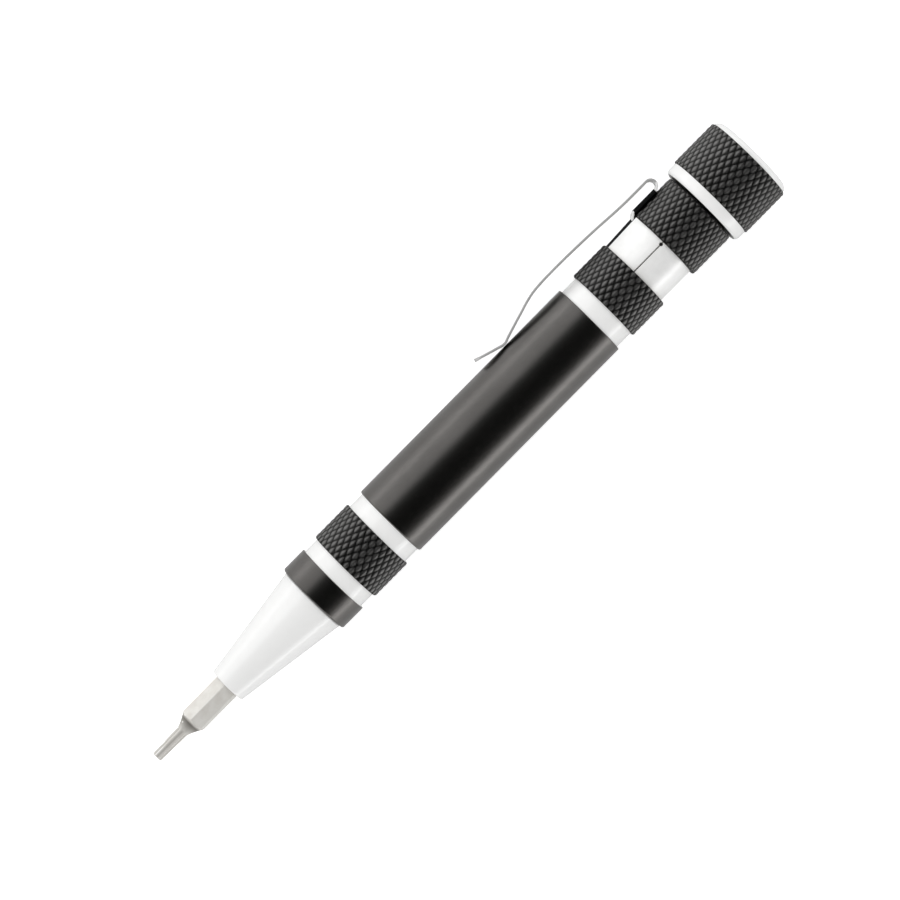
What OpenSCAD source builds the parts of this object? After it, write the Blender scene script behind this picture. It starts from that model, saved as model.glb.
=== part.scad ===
// Pocket screwdriver with a clip, a spinning cap and six spare bits stored in the handle.
// The pen lies along X. The origin is the point of the bit in use, +X runs to the cap,
// and the clip is on the +Y side. Sizes are in millimetres.

/* [Bits] */
// Width across the flats of every hex shank
bit_af = 4; // [3.6:0.1:4.1]
// Length of a bit, point to shank end
bit_len = 28; // [26:0.5:30]
// How far the bit in use stands out of the nose
bit_reach = 15.5; // [13:0.5:18]
// Width across the lobes of the star point in use
star_d = 1.55; // [1.2:0.05:2]
// Length of the slim part of the bit in use
star_len = 5.6; // [4:0.2:7]
// Length of the flare between the slim part and the shank
flare_len = 2.4; // [1.6:0.1:4]
// How far the bit in use is turned about its axis, in degrees
bit_turn = 9; // [0:1:59]

/* [Spare bits] */
// Length of the slim part of each spare bit
spare_slim_len = 7; // [5:0.2:9]
// Length of the flare of each spare bit
spare_flare_len = 2.6; // [1.6:0.1:4]
// Width of the small slotted blade
small_blade_w = 1.8; // [1.4:0.1:2.2]
// Thickness of the small slotted blade
small_blade_t = 0.35; // [0.25:0.05:0.5]
// Width of the large slotted blade
large_blade_w = 3; // [2.4:0.1:3.4]
// Thickness of the large slotted blade
large_blade_t = 0.5; // [0.4:0.05:0.7]
// Diameter of the small cross point
small_cross_d = 2; // [1.6:0.1:2.4]
// Diameter of the large cross point
large_cross_d = 3; // [2.6:0.1:3.4]
// Width across the lobes of the spare star point
spare_star_d = 2.2; // [1.8:0.1:2.8]
// Width across the flats of the hex point
hex_key_af = 2; // [1.5:0.1:2.5]

/* [Nose cone] */
// Length of the visible cone
nose_len = 18.8; // [15:0.1:22]
// Diameter of the cone at the bit
nose_tip_d = 6.2; // [6.1:0.05:6.8]
// Step from the front band down to the cone
nose_drop = 0.6; // [0.2:0.05:0.9]
// Length of the screwed spigot behind the cone
nose_thread_len = 5.6; // [4:0.2:7]
// Thickness of the tube round the screwed spigot
nose_thread_wall = 1; // [0.9:0.05:1.2]
// Outer diameter of the hex socket sleeve
socket_d = 5.2; // [5.1:0.02:5.4]
// Length of the magnet behind the bit
magnet_len = 3; // [2:0.25:4]

/* [Handle tube] */
// Diameter of the smooth black barrel and the front band
body_d = 12.8; // [12.6:0.05:13.2]
// Thickness of the tube round the magazine
tube_wall = 1.4; // [1.3:0.02:1.44]
// How far the knurled grips stand above the barrel
grip_rise = 0.1; // [0.05:0.05:0.4]
// Depth of the bright grooves in the tube
groove_depth = 0.4; // [0.25:0.05:0.5]
// Length of the smooth band behind the cone
band_len = 4.4; // [3:0.2:6]
// Length of the bright groove ahead of the front grip
front_groove_len = 2.6; // [1.6:0.1:3.6]
// Length of the front grip
front_grip_len = 7.1; // [5:0.1:10]
// Length of the bright groove behind the front grip
mid_groove_len = 2.7; // [1.6:0.1:3.6]
// Length of the plain barrel
barrel_len = 43.6; // [42:0.2:50]
// Thickness of the tube round the thread that holds the tail
tail_thread_wall = 0.75; // [0.7:0.05:0.85]
// Length of the thread that holds the tail
tail_thread_len = 4.8; // [3.5:0.1:5]

/* [Magazine] */
// Thickness of the end walls
magazine_end = 1; // [0.6:0.1:1.2]
// Thickness of the wall between the two layers of bits
magazine_web = 1.2; // [0.8:0.1:1.6]

/* [Tail] */
// Depth of the bright groove at the front of the tail
tail_groove_depth = 0.45; // [0.3:0.05:0.55]
// Length of the bright groove at the front of the tail
tail_groove_len = 3; // [2:0.1:4]
// Length of the grip ahead of the clip band
mid_grip_len = 6.8; // [5:0.1:9]
// Length of the seat of the clip band
clip_seat_len = 6.4; // [5:0.1:8]
// Length of the grip behind the clip band
rear_grip_len = 8; // [7.5:0.1:11]
// Width of the seal between tube and tail
seal_len = 0.9; // [0.6:0.05:1]
// Thickness of the pad that keeps the magazine from rattling
pad_t = 1; // [0.6:0.1:1.4]
// Thickness of the wall between the magazine and the bearing
tail_web = 2; // [1.2:0.1:3]

/* [Clip] */
// Thickness of the spring strip
clip_t = 0.4; // [0.3:0.02:0.5]
// Width of the arm at its bend
clip_w = 4.8; // [4:0.1:5]
// Length from the outside of the bend to the flared end
clip_len = 39.2; // [34:0.1:44]
// Height of the arm's highest stretch above the barrel
clip_stand = 3.1; // [2.7:0.05:3.8]
// How far the round of the band lies below the barrel's surface
clip_band_sink = 0.65; // [0.4:0.05:0.75]
// Height of the band's flat top above the round of the band
clip_pad_rise = 0.45; // [0.3:0.05:0.6]
// Width of the seam where the band's ends meet
seam_w = 0.25; // [0.15:0.05:0.5]

/* [Cap] */
// How far the cap's knurl stands out past the barrel
cap_overhang = 1.35; // [1.2:0.05:1.8]
// Step from the cap's knurl down to its bright ring
cap_ring_drop = 0.25; // [0.2:0.05:0.4]
// Width of the bright ring
cap_ring_len = 2; // [1.4:0.1:3]
// Length of the cap
cap_len = 11.4; // [9.5:0.1:14]
// Width of the rim between the cap's knurl and its flat end face
cap_rim_w = 1.6; // [1.3:0.1:2.6]
// Diameter of the spindle
spindle_d = 4; // [3.8:0.05:4.1]
// Depth of the spindle's hole in the cap
spindle_hole = 7; // [5:0.2:8]

/* [Bearing] */
// Outer diameter of the bearing
bearing_d = 9; // [8.8:0.05:9.2]
// Width of the bearing
bearing_w = 4; // [3.6:0.1:4.4]
// Diameter of a ball
ball_d = 1.58; // [1.4:0.02:1.66]
// Number of balls
ball_count = 7; // [5:1:7]

/* [Hidden] */
$fn = 96;

// Colours of the finishes
black_anodised = "#1e1d1c";
bright_aluminium = "#e3e3e2";
tool_steel = "#cfcdc8";
spring_steel = "#c4c4c4";
bearing_steel = "#b9babc";
magnet_nickel = "#a8a9ab";
black_rubber = "#161616";
grey_plastic = "#55585c";

// Clearances
press_gap = 0.02;
thread_gap = 0.03;
slide_gap = 0.05;
bore_gap = 0.1;
face_gap = 0.05;
cap_gap = 0.15;
rest_gap = 0.15;
end_gap = 0.1;
pad_gap = 0.2;

// Small shared details
over = 1;
edge = 0.15;
arc_steps = 6;

// Diameters of the handle, from the barrel inwards and outwards
bore_d = body_d - 2 * tube_wall;
grip_d = body_d + 2 * grip_rise;
groove_d = body_d - 2 * groove_depth;
nose_end_d = body_d - 2 * nose_drop;
nose_thread_d = body_d - 2 * nose_thread_wall;
tail_thread_d = body_d - 2 * tail_thread_wall;
tail_groove_d = body_d - 2 * tail_groove_depth;
clip_band_d = body_d - 2 * clip_band_sink;
cap_d = body_d + 2 * cap_overhang;
cap_ring_d = cap_d - 2 * cap_ring_drop;
cap_face_d = cap_d - 2 * cap_rim_w;

// Stations along the pen, from the point of the bit
nose_x = bit_reach;
tube_x = nose_x + nose_len;
front_groove_x = tube_x + band_len;
front_grip_x = front_groove_x + front_groove_len;
mid_groove_x = front_grip_x + front_grip_len;
barrel_x = mid_groove_x + mid_groove_len;
tail_x = barrel_x + barrel_len;
mid_grip_x = tail_x + tail_groove_len;
seat_x = mid_grip_x + mid_grip_len;
rear_grip_x = seat_x + clip_seat_len;
tail_end_x = rear_grip_x + rear_grip_len;
cap_x = tail_end_x + cap_gap;
cap_end_x = cap_x + cap_len;

// Shank of a bit
shank_corner_d = bit_af / cos(30);
shank_chamfer = (shank_corner_d - bit_af) / 2 + edge;
shank_end_d = shank_corner_d - 2 * shank_chamfer;
flare_power = 2.2;

// Socket and magnet
magnet_d = bit_af - 2 * press_gap;
socket_af = bit_af + 2 * slide_gap;
magnet_x = bit_len + face_gap;
socket_wall = 1;
socket_end_x = magnet_x + magnet_len + socket_wall;
socket_hole_end_x = magnet_x + magnet_len;
nose_spigot_end_x = max(tube_x + nose_thread_len, socket_end_x + socket_wall);

// Magazine
magazine_d = bore_d - 2 * bore_gap;
channel_r = (magazine_d - shank_corner_d) / 2;
chamber_len = bit_len + 2 * end_gap;
magazine_len = 2 * magazine_end + magazine_web + 2 * chamber_len;
magazine_gap = 0.6;
magazine_x = nose_spigot_end_x + magazine_gap;
magazine_end_x = magazine_x + magazine_len;
front_chamber_x = magazine_x + magazine_end;
rear_chamber_x = front_chamber_x + chamber_len + magazine_web;
pull_groove_depth = 0.5;
pull_groove_share = 0.55;
channels = 3;

// Tail and its seal
pad_x = magazine_end_x + pad_gap;
tail_bore_end_x = pad_x + pad_t;
tail_cavity_x = tail_bore_end_x + tail_web;
seal_land_len = seal_len + 2 * end_gap;
seal_land_x = tail_x - seal_land_len;
tail_thread_x = seal_land_x - tail_thread_len;
seal_land_cut = 0.2;
seal_land_d = tail_thread_d - 2 * seal_land_cut;
seal_relief_depth = 0.35;
seal_relief_d = tail_thread_d + 2 * seal_relief_depth;
seal_d = seal_relief_d - 2 * slide_gap;

// Bearing and spindle
bearing_recess = 0.3;
bearing_x = tail_end_x - bearing_recess - bearing_w;
bearing_seat_d = bearing_d + 2 * press_gap;
bearing_shoulder = 0.4;
tail_cavity_d = bearing_d - 2 * bearing_shoulder;
race_pitch_r = (bearing_d + spindle_d) / 4;
race_bite_share = 0.62;
inner_race_d = 2 * race_pitch_r - ball_d * race_bite_share;
outer_race_d = 2 * race_pitch_r + ball_d * race_bite_share;
ball_gap = 0.04;
cage_rim = 0.3;
cage_gap = 0.16;
cage_len = ball_d + 2 * cage_rim;
cage_inner_d = inner_race_d + 2 * cage_gap;
cage_outer_d = outer_race_d - 2 * cage_gap;
ring_t = 0.45;
ring_bite = 0.4;
ring_lip = 0.8;
ring_d = spindle_d + 2 * ring_lip;
ring_slot_share = 0.36;
spindle_nose = 1.1;
spindle_x = bearing_x - ring_t - spindle_nose;
spindle_end_x = cap_x + spindle_hole - end_gap;
cap_boss_d = inner_race_d - 2 * press_gap;

// Clip
clip_seat_d = clip_band_d - 2 * clip_t - 2 * press_gap;
clip_bend_r = 0.98;
clip_back_gap = 2.05;
clip_tab_y = grip_d / 2 + slide_gap + clip_t / 2;
clip_arm_y = clip_tab_y + 2 * clip_bend_r;
clip_back_x = cap_x - clip_back_gap;
clip_tip_x = clip_back_x - clip_len;
clip_hinge_x = clip_back_x - clip_t / 2;
clip_hinge_y = clip_tab_y + clip_bend_r;
clip_bend_x = clip_hinge_x - clip_bend_r;
clip_touch_y = body_d / 2 + rest_gap + clip_t / 2;
clip_rise_y = body_d / 2 + clip_stand - clip_t / 2;
clip_split = 0.04;
clip_split_deg = asin(clip_split / clip_bend_r);
clip_tip_w_share = 0.86;
joggle_len = 1.1;
joggle_top_share = 0.25;
band_step_deg = 8;

// The arm's bow: distance from the bend as a share of the arm's length, and height as
// a share of the way from where the arm touches the barrel up to its highest stretch
arm_shares = [
    [0.138, 0.785], [0.296, 0.92], [0.464, 1], [0.592, 0.98], [0.661, 0.86],
    [0.745, 0.52], [0.829, 0.16], [0.865, 0], [0.903, 0.13], [1, 0.55]
];

// Cap
ring_corner = 0.7;
rim_len = 0.8;
rim_inset = 0.5;

function arc_points(cx, cr, radius, from_deg, to_deg) = [
    for (i = [0 : arc_steps])
        let (a = from_deg + (to_deg - from_deg) * i / arc_steps)
        [cx + radius * cos(a), cr + radius * sin(a)]
];

// A smooth curve through points, as a Catmull-Rom spline
function curve_point(p0, p1, p2, p3, t) =
    (2 * p1 + (p2 - p0) * t + (2 * p0 - 5 * p1 + 4 * p2 - p3) * t * t
    + (3 * p1 - p0 - 3 * p2 + p3) * t * t * t) / 2;
function smooth_path(points, steps) = let (last = len(points) - 1) [
    for (i = [0 : last - 1])
        for (s = [0 : steps - (i == last - 1 ? 0 : 1)])
            curve_point(
                points[max(i - 1, 0)], points[i], points[i + 1], points[min(i + 2, last)],
                s / steps
            )
];

// Outline of a bent strip of thickness t that follows a path
function unit(v) = v / norm(v);
function path_normal(path, i) =
    let (d = unit(path[min(i + 1, len(path) - 1)] - path[max(i - 1, 0)])) [-d[1], d[0]];
function strip_outline(path, t) = concat(
    [for (i = [0 : len(path) - 1]) path[i] + path_normal(path, i) * t / 2],
    [for (i = [len(path) - 1 : -1 : 0]) path[i] - path_normal(path, i) * t / 2]
);

// A solid turned about the pen's axis from [x, radius] points
module turned(profile) {
    rotate([0, 90, 0])
        rotate_extrude()
            polygon([for (p = profile) [p[1], p[0]]]);
}

// A round bar or bore along X
module bar(x, length, diameter) {
    translate([x, 0, 0])
        rotate([0, 90, 0])
            cylinder(d = diameter, h = length);
}

// A hex bar along X with corners at the top and bottom before it is turned
module hex_bar(x, length, across_flats) {
    translate([x, 0, 0])
        rotate([0, 90, 0])
            cylinder(d = across_flats / cos(30), h = length, $fn = 6);
}

// Shank of a bit: a hex bar with its corners turned off at both ends
module hex_shank(x, length) {
    end_r = shank_end_d / 2;
    widest_r = shank_corner_d;
    cone_len = widest_r - end_r;
    intersection() {
        hex_bar(x, length, bit_af);
        turned([
            [x, 0], [x, end_r], [x + cone_len, widest_r],
            [x + length - cone_len, widest_r], [x + length, end_r], [x + length, 0]
        ]);
    }
}

// Hollow flare between the slim part of a bit and its shank
module flare(x, length, from_d) {
    turned(concat(
        [[x, 0]],
        [for (i = [0 : arc_steps])
            let (t = i / arc_steps)
            [x + length * t, (from_d + (shank_end_d - from_d) * pow(t, flare_power)) / 2]],
        [[x + length, 0]]
    ));
}

// Six-lobed section of a star point
module star_section(d) {
    lobe_share = 0.26;
    core_share = 0.74;
    circle(d = d * core_share);
    for (i = [0 : 5])
        rotate(i * 60)
            translate([d / 2 * (1 - lobe_share), 0])
                circle(d = d * lobe_share, $fn = 24);
}

module along_x(x) {
    translate([x, 0, 0])
        rotate([0, 90, 0])
            children();
}

// A whole bit from its point at x = 0, with the given slim part
module bit_with(slim_d, slim_len, neck_len) {
    children();
    flare(slim_len, neck_len, slim_d);
    hex_shank(slim_len + neck_len, bit_len - slim_len - neck_len);
}

module star_bit(d, slim_len, neck_len) {
    bit_with(d, slim_len, neck_len)
        along_x(0)
            linear_extrude(slim_len)
                star_section(d);
}

module slotted_bit(blade_w, blade_t, slim_len, neck_len) {
    bit_with(blade_w, slim_len, neck_len)
        intersection() {
            bar(0, slim_len, blade_w);
            rotate([90, 0, 0])
                linear_extrude(blade_w, center = true)
                    polygon([
                        [0, -blade_t / 2], [0, blade_t / 2], [slim_len, blade_w / 2],
                        [slim_len, -blade_w / 2]
                    ]);
        }
}

module cross_bit(d, slim_len, neck_len) {
    wing_share = 0.3;
    point_share = 0.22;
    cut_len = d;
    bit_with(d, slim_len, neck_len)
        intersection() {
            union() {
                bar(cut_len, slim_len - cut_len, d);
                for (a = [0, 90])
                    rotate([a, 0, 0])
                        translate([0, -d / 2, -d * wing_share / 2])
                            cube([slim_len, d, d * wing_share]);
            }
            turned([
                [0, 0], [0, d * point_share], [cut_len, d / 2], [slim_len, d / 2],
                [slim_len, 0]
            ]);
        }
}

module hex_key_bit(af, slim_len, neck_len) {
    bit_with(af, slim_len, neck_len)
        hex_bar(0, slim_len, af);
}

// Puts a bit, point first, in one channel of one layer of the magazine
module stored(layer, channel) {
    rotate([channel * 360 / channels, 0, 0])
        translate([(layer == 0 ? front_chamber_x : rear_chamber_x) + end_gap, 0, channel_r])
            children();
}

module nose_cone() {
    color(bright_aluminium)
        difference() {
            turned([
                [nose_x, 0], [nose_x, nose_tip_d / 2 - edge],
                [nose_x + edge, nose_tip_d / 2], [tube_x - edge, nose_end_d / 2],
                [tube_x, nose_end_d / 2 - edge], [tube_x, nose_thread_d / 2],
                [nose_spigot_end_x - edge, nose_thread_d / 2],
                [nose_spigot_end_x, nose_thread_d / 2 - edge], [nose_spigot_end_x, 0]
            ]);
            bar(nose_x - over, socket_end_x - nose_x + over, socket_d + 2 * press_gap);
        }
}

module bit_socket() {
    color(tool_steel)
        difference() {
            bar(nose_x, socket_end_x - nose_x, socket_d);
            rotate([-bit_turn, 0, 0])
                hex_bar(nose_x - over, socket_hole_end_x - nose_x + over, socket_af);
        }
}

module socket_magnet() {
    color(magnet_nickel)
        bar(magnet_x, magnet_len, magnet_d);
}

module driver_bit() {
    color(tool_steel)
        rotate([-bit_turn, 0, 0])
            star_bit(star_d, star_len, flare_len);
}

module body_tube() {
    color(black_anodised)
        difference() {
            turned([
                [tube_x, 0], [tube_x, body_d / 2 - edge], [tube_x + edge, body_d / 2],
                [front_groove_x - edge, body_d / 2], [front_groove_x, body_d / 2 - edge],
                [front_groove_x, groove_d / 2], [front_grip_x, groove_d / 2],
                [front_grip_x, grip_d / 2 - edge], [front_grip_x + edge, grip_d / 2],
                [mid_groove_x - edge, grip_d / 2], [mid_groove_x, grip_d / 2 - edge],
                [mid_groove_x, groove_d / 2], [barrel_x, groove_d / 2],
                [barrel_x, body_d / 2 - edge], [barrel_x + edge, body_d / 2],
                [tail_x - edge, body_d / 2], [tail_x, body_d / 2 - edge], [tail_x, 0]
            ]);
            bar(tube_x - over, tail_x - tube_x + 2 * over, bore_d);
            bar(
                tube_x - over, nose_spigot_end_x - tube_x + over,
                nose_thread_d + 2 * thread_gap
            );
            bar(
                tail_thread_x - end_gap, tail_thread_len + seal_land_len + over,
                tail_thread_d + 2 * thread_gap
            );
            bar(seal_land_x, seal_land_len + over, seal_relief_d);
        }
}

// One channel for a stored bit: a vee floor under straight sides, open outwards
module channel(x) {
    af = bit_af + 2 * slide_gap;
    corner_r = af / 2 / cos(30);
    along_x(x)
        linear_extrude(chamber_len)
            polygon([
                [-channel_r + corner_r, 0], [-channel_r + corner_r / 2, af / 2],
                [-magazine_d, af / 2], [-magazine_d, -af / 2],
                [-channel_r + corner_r / 2, -af / 2]
            ]);
}

module bit_magazine() {
    pull_r = magazine_d / 2 - pull_groove_depth;
    pull_len = magazine_end * pull_groove_share;
    pull_x = magazine_end_x - magazine_end + (magazine_end - pull_len) / 2;
    color(grey_plastic)
        difference() {
            bar(magazine_x, magazine_len, magazine_d);
            for (i = [0 : channels - 1])
                for (x = [front_chamber_x, rear_chamber_x])
                    rotate([i * 360 / channels, 0, 0])
                        channel(x);
            difference() {
                bar(pull_x, pull_len, magazine_d + over);
                bar(pull_x - over, pull_len + 2 * over, 2 * pull_r);
            }
        }
}

module small_slotted_bit() {
    color(tool_steel)
        stored(0, 0)
            slotted_bit(small_blade_w, small_blade_t, spare_slim_len, spare_flare_len);
}

module large_slotted_bit() {
    color(tool_steel)
        stored(0, 1)
            slotted_bit(large_blade_w, large_blade_t, spare_slim_len, spare_flare_len);
}

module small_cross_bit() {
    color(tool_steel)
        stored(0, 2)
            cross_bit(small_cross_d, spare_slim_len, spare_flare_len);
}

module large_cross_bit() {
    color(tool_steel)
        stored(1, 0)
            cross_bit(large_cross_d, spare_slim_len, spare_flare_len);
}

module spare_star_bit() {
    color(tool_steel)
        stored(1, 1)
            star_bit(spare_star_d, spare_slim_len, spare_flare_len);
}

module hex_bit() {
    color(tool_steel)
        stored(1, 2)
            hex_key_bit(hex_key_af, spare_slim_len, spare_flare_len);
}

module tail_seal() {
    color(black_rubber)
        difference() {
            bar(seal_land_x + end_gap, seal_len, seal_d);
            bar(seal_land_x, seal_land_len, seal_land_d + 2 * press_gap);
        }
}

module tail_grip() {
    color(black_anodised)
        difference() {
            turned([
                [tail_thread_x, 0], [tail_thread_x, tail_thread_d / 2 - edge],
                [tail_thread_x + edge, tail_thread_d / 2],
                [seal_land_x, tail_thread_d / 2], [seal_land_x, seal_land_d / 2],
                [tail_x, seal_land_d / 2], [tail_x, tail_groove_d / 2],
                [mid_grip_x, tail_groove_d / 2], [mid_grip_x, grip_d / 2 - edge],
                [mid_grip_x + edge, grip_d / 2], [seat_x - edge, grip_d / 2],
                [seat_x, grip_d / 2 - edge], [seat_x, clip_seat_d / 2],
                [rear_grip_x, clip_seat_d / 2], [rear_grip_x, grip_d / 2 - edge],
                [rear_grip_x + edge, grip_d / 2], [tail_end_x - edge, grip_d / 2],
                [tail_end_x, grip_d / 2 - edge], [tail_end_x, 0]
            ]);
            bar(tail_thread_x - over, tail_bore_end_x - tail_thread_x + over, bore_d);
            bar(tail_cavity_x, tail_end_x - tail_cavity_x, tail_cavity_d);
            bar(bearing_x, bearing_w + bearing_recess + over, bearing_seat_d);
        }
}

module magazine_pad() {
    color(black_rubber)
        bar(pad_x, pad_t, bore_d - 2 * slide_gap);
}

// Path of the band's section, seen along the pen: from the seam over the flat top and
// round to the seam again, with the flat joined to the round by tangents
function band_path(r, top, half_w) =
    let (
        reach = norm([half_w, top]),
        lean = atan2(half_w, top) + acos(r / reach),
        gap_deg = asin(seam_w / 2 / r)
    )
    concat(
        round_path(r, 180 - gap_deg, 90 + lean),
        [[-half_w, top], [half_w, top]],
        round_path(r, 90 - lean, gap_deg - 180)
    );
function round_path(r, from_deg, to_deg) =
    let (steps = ceil(abs(to_deg - from_deg) / band_step_deg))
    [for (i = [0 : steps])
        let (a = from_deg + (to_deg - from_deg) * i / steps)
        r * [cos(a), sin(a)]];

// The band that wraps the tail, with the strip that climbs over the rear grip and
// turns up into the lower half of the bend
module clip_band() {
    band_x = seat_x + slide_gap;
    band_w = clip_seat_len - 2 * slide_gap;
    band_end_x = band_x + band_w;
    band_r = (clip_band_d - clip_t) / 2;
    pad_y = band_r + clip_pad_rise;
    strip = concat(
        [
            [band_end_x - joggle_len, pad_y],
            [band_end_x - joggle_len * joggle_top_share, clip_tab_y]
        ],
        arc_points(clip_bend_x, clip_hinge_y, clip_bend_r, -90, -clip_split_deg)
    );
    color(spring_steel) {
        along_x(band_x)
            linear_extrude(band_w)
                polygon(strip_outline(band_path(band_r, pad_y, clip_w / 2), clip_t));
        translate([0, 0, -clip_w / 2])
            linear_extrude(clip_w)
                polygon(strip_outline(strip, clip_t));
    }
}

// The arm: the upper half of the bend, the long bowed stretch and the flared end
module clip_arm() {
    arm_len = clip_bend_x - clip_tip_x;
    rise = clip_rise_y - clip_touch_y;
    tip_w = clip_w * clip_tip_w_share;
    bow = [
        for (s = arm_shares) [clip_bend_x - arm_len * s[0], clip_touch_y + rise * s[1]]
    ];
    path = concat(
        arc_points(clip_bend_x, clip_hinge_y, clip_bend_r, clip_split_deg, 90),
        smooth_path(concat([[clip_bend_x - edge, clip_arm_y]], bow), 3)
    );
    color(spring_steel)
        intersection() {
            translate([0, 0, -clip_w / 2])
                linear_extrude(clip_w)
                    polygon(strip_outline(path, clip_t));
            rotate([-90, 0, 0])
                linear_extrude(clip_rise_y + over)
                    polygon(concat(
                        arc_points(clip_tip_x + tip_w / 2, 0, tip_w / 2, 90, 270),
                        [
                            [clip_back_x + over, -clip_w / 2],
                            [clip_back_x + over, clip_w / 2]
                        ]
                    ));
        }
}

module bearing_race(inner_d, outer_d) {
    rotate([0, 90, 0])
        rotate_extrude()
            difference() {
                translate([inner_d / 2, bearing_x])
                    square([(outer_d - inner_d) / 2, bearing_w]);
                translate([race_pitch_r, bearing_x + bearing_w / 2])
                    circle(d = ball_d + 2 * ball_gap);
            }
}

module bearing_outer_race() {
    color(bearing_steel)
        bearing_race(outer_race_d, bearing_d);
}

module bearing_inner_race() {
    color(bearing_steel)
        bearing_race(spindle_d + 2 * press_gap, inner_race_d);
}

module ball_places() {
    for (i = [0 : ball_count - 1])
        rotate([i * 360 / ball_count, 0, 0])
            translate([bearing_x + bearing_w / 2, 0, race_pitch_r])
                children();
}

module bearing_balls() {
    color(bearing_steel)
        ball_places()
            sphere(d = ball_d, $fn = 32);
}

module bearing_cage() {
    color(grey_plastic)
        difference() {
            bar(bearing_x + (bearing_w - cage_len) / 2, cage_len, cage_outer_d);
            bar(bearing_x, bearing_w, cage_inner_d);
            ball_places()
                sphere(d = ball_d + 2 * slide_gap, $fn = 32);
        }
}

module spindle_ring() {
    x = bearing_x - ring_t;
    slot = spindle_d * ring_slot_share;
    color(spring_steel)
        difference() {
            bar(x, ring_t, ring_d);
            bar(x - over, ring_t + 2 * over, spindle_d - 2 * ring_bite + 2 * press_gap);
            translate([x - over, -slot / 2, 0])
                cube([ring_t + 2 * over, slot, ring_d]);
        }
}

module cap_spindle() {
    groove_x = bearing_x - ring_t - press_gap;
    groove_end_x = bearing_x + press_gap;
    color(tool_steel)
        turned([
            [spindle_x, 0], [spindle_x, spindle_d / 2 - edge],
            [spindle_x + edge, spindle_d / 2], [groove_x, spindle_d / 2],
            [groove_x, spindle_d / 2 - ring_bite],
            [groove_end_x, spindle_d / 2 - ring_bite], [groove_end_x, spindle_d / 2],
            [spindle_end_x - edge, spindle_d / 2],
            [spindle_end_x, spindle_d / 2 - edge], [spindle_end_x, 0]
        ]);
}

module cap_shell() {
    ring_r = cap_ring_d / 2;
    knurl_r = cap_d / 2;
    face_r = cap_face_d / 2;
    rim_r = knurl_r - rim_inset;
    rim_x = cap_end_x - rim_len;
    knurl_x = cap_x + cap_ring_len;
    boss_x = tail_end_x - bearing_recess;
    color(black_anodised)
        difference() {
            turned(concat(
                [
                    [boss_x, 0], [boss_x, cap_boss_d / 2], [cap_x, cap_boss_d / 2],
                    [cap_x, ring_r - ring_corner]
                ],
                arc_points(cap_x + ring_corner, ring_r - ring_corner, ring_corner, 180, 90),
                [
                    [knurl_x, ring_r], [knurl_x, knurl_r - edge], [knurl_x + edge, knurl_r],
                    [rim_x - 2 * edge, knurl_r], [rim_x, rim_r]
                ],
                [for (i = [1 : arc_steps])
                    let (a = 90 * i / arc_steps)
                    [rim_x + rim_len * sin(a), face_r + (rim_r - face_r) * cos(a)]],
                [[cap_end_x, 0]]
            ));
            bar(
                boss_x - over, cap_x + spindle_hole - boss_x + over,
                spindle_d + 2 * press_gap
            );
        }
}

nose_cone();
bit_socket();
socket_magnet();
driver_bit();
body_tube();
bit_magazine();
small_slotted_bit();
large_slotted_bit();
small_cross_bit();
large_cross_bit();
spare_star_bit();
hex_bit();
tail_seal();
tail_grip();
magazine_pad();
clip_band();
clip_arm();
bearing_outer_race();
bearing_inner_race();
bearing_balls();
bearing_cage();
spindle_ring();
cap_spindle();
cap_shell();
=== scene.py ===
"""Looks of a pocket screwdriver, built round its CAD frame.

A hex bit stands in a bright turned cone. Behind it come a black anodised tube with bright
grooves and a knurled grip, the tail that unscrews with two more grips and the band of a
spring clip, and a wider knurled cap that spins. Six spare bits lie in a carrier inside.
The pen lies along X with the point of the bit at the origin and the clip on the +Y side.
"""

import logging
import math
from dataclasses import dataclass
from enum import Enum, IntEnum
from typing import Any, Sequence

import bmesh
import bpy
from bmesh.types import BMesh, BMVert
from bpy.types import Material, NodeSocket, NodeTree, Object
from mathutils import Matrix, Vector
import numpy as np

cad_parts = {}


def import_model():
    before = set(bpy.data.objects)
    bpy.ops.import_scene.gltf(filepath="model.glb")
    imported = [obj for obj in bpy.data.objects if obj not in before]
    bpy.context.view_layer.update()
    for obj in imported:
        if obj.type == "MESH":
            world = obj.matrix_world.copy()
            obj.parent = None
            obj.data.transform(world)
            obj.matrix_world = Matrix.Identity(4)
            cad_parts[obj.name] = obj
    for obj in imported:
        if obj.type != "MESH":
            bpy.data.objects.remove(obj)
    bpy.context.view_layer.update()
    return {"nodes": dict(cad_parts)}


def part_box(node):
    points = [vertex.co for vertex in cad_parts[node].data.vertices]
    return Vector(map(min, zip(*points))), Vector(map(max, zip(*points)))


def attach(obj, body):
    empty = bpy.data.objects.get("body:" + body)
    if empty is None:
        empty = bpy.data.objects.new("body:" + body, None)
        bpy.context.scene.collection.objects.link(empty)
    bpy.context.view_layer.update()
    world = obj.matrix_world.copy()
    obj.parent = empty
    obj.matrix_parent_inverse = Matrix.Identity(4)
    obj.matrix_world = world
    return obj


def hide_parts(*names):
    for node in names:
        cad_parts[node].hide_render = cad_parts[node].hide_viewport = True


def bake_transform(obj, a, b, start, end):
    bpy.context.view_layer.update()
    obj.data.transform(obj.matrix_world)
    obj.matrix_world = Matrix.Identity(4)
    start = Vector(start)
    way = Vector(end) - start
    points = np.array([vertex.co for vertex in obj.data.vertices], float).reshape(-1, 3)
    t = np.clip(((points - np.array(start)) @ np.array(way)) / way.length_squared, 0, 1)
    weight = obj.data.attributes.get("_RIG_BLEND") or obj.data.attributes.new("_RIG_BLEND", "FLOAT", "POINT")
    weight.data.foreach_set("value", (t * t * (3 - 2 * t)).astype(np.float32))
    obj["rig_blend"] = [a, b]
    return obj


LOG = logging.getLogger("pocket_screwdriver")
MM = 0.001
TURN = 2 * math.pi
SIDES = 128
ARC_STEPS = 5
SHARP_ANGLE = math.radians(32)
TOUCHING = 1e-5
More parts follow.
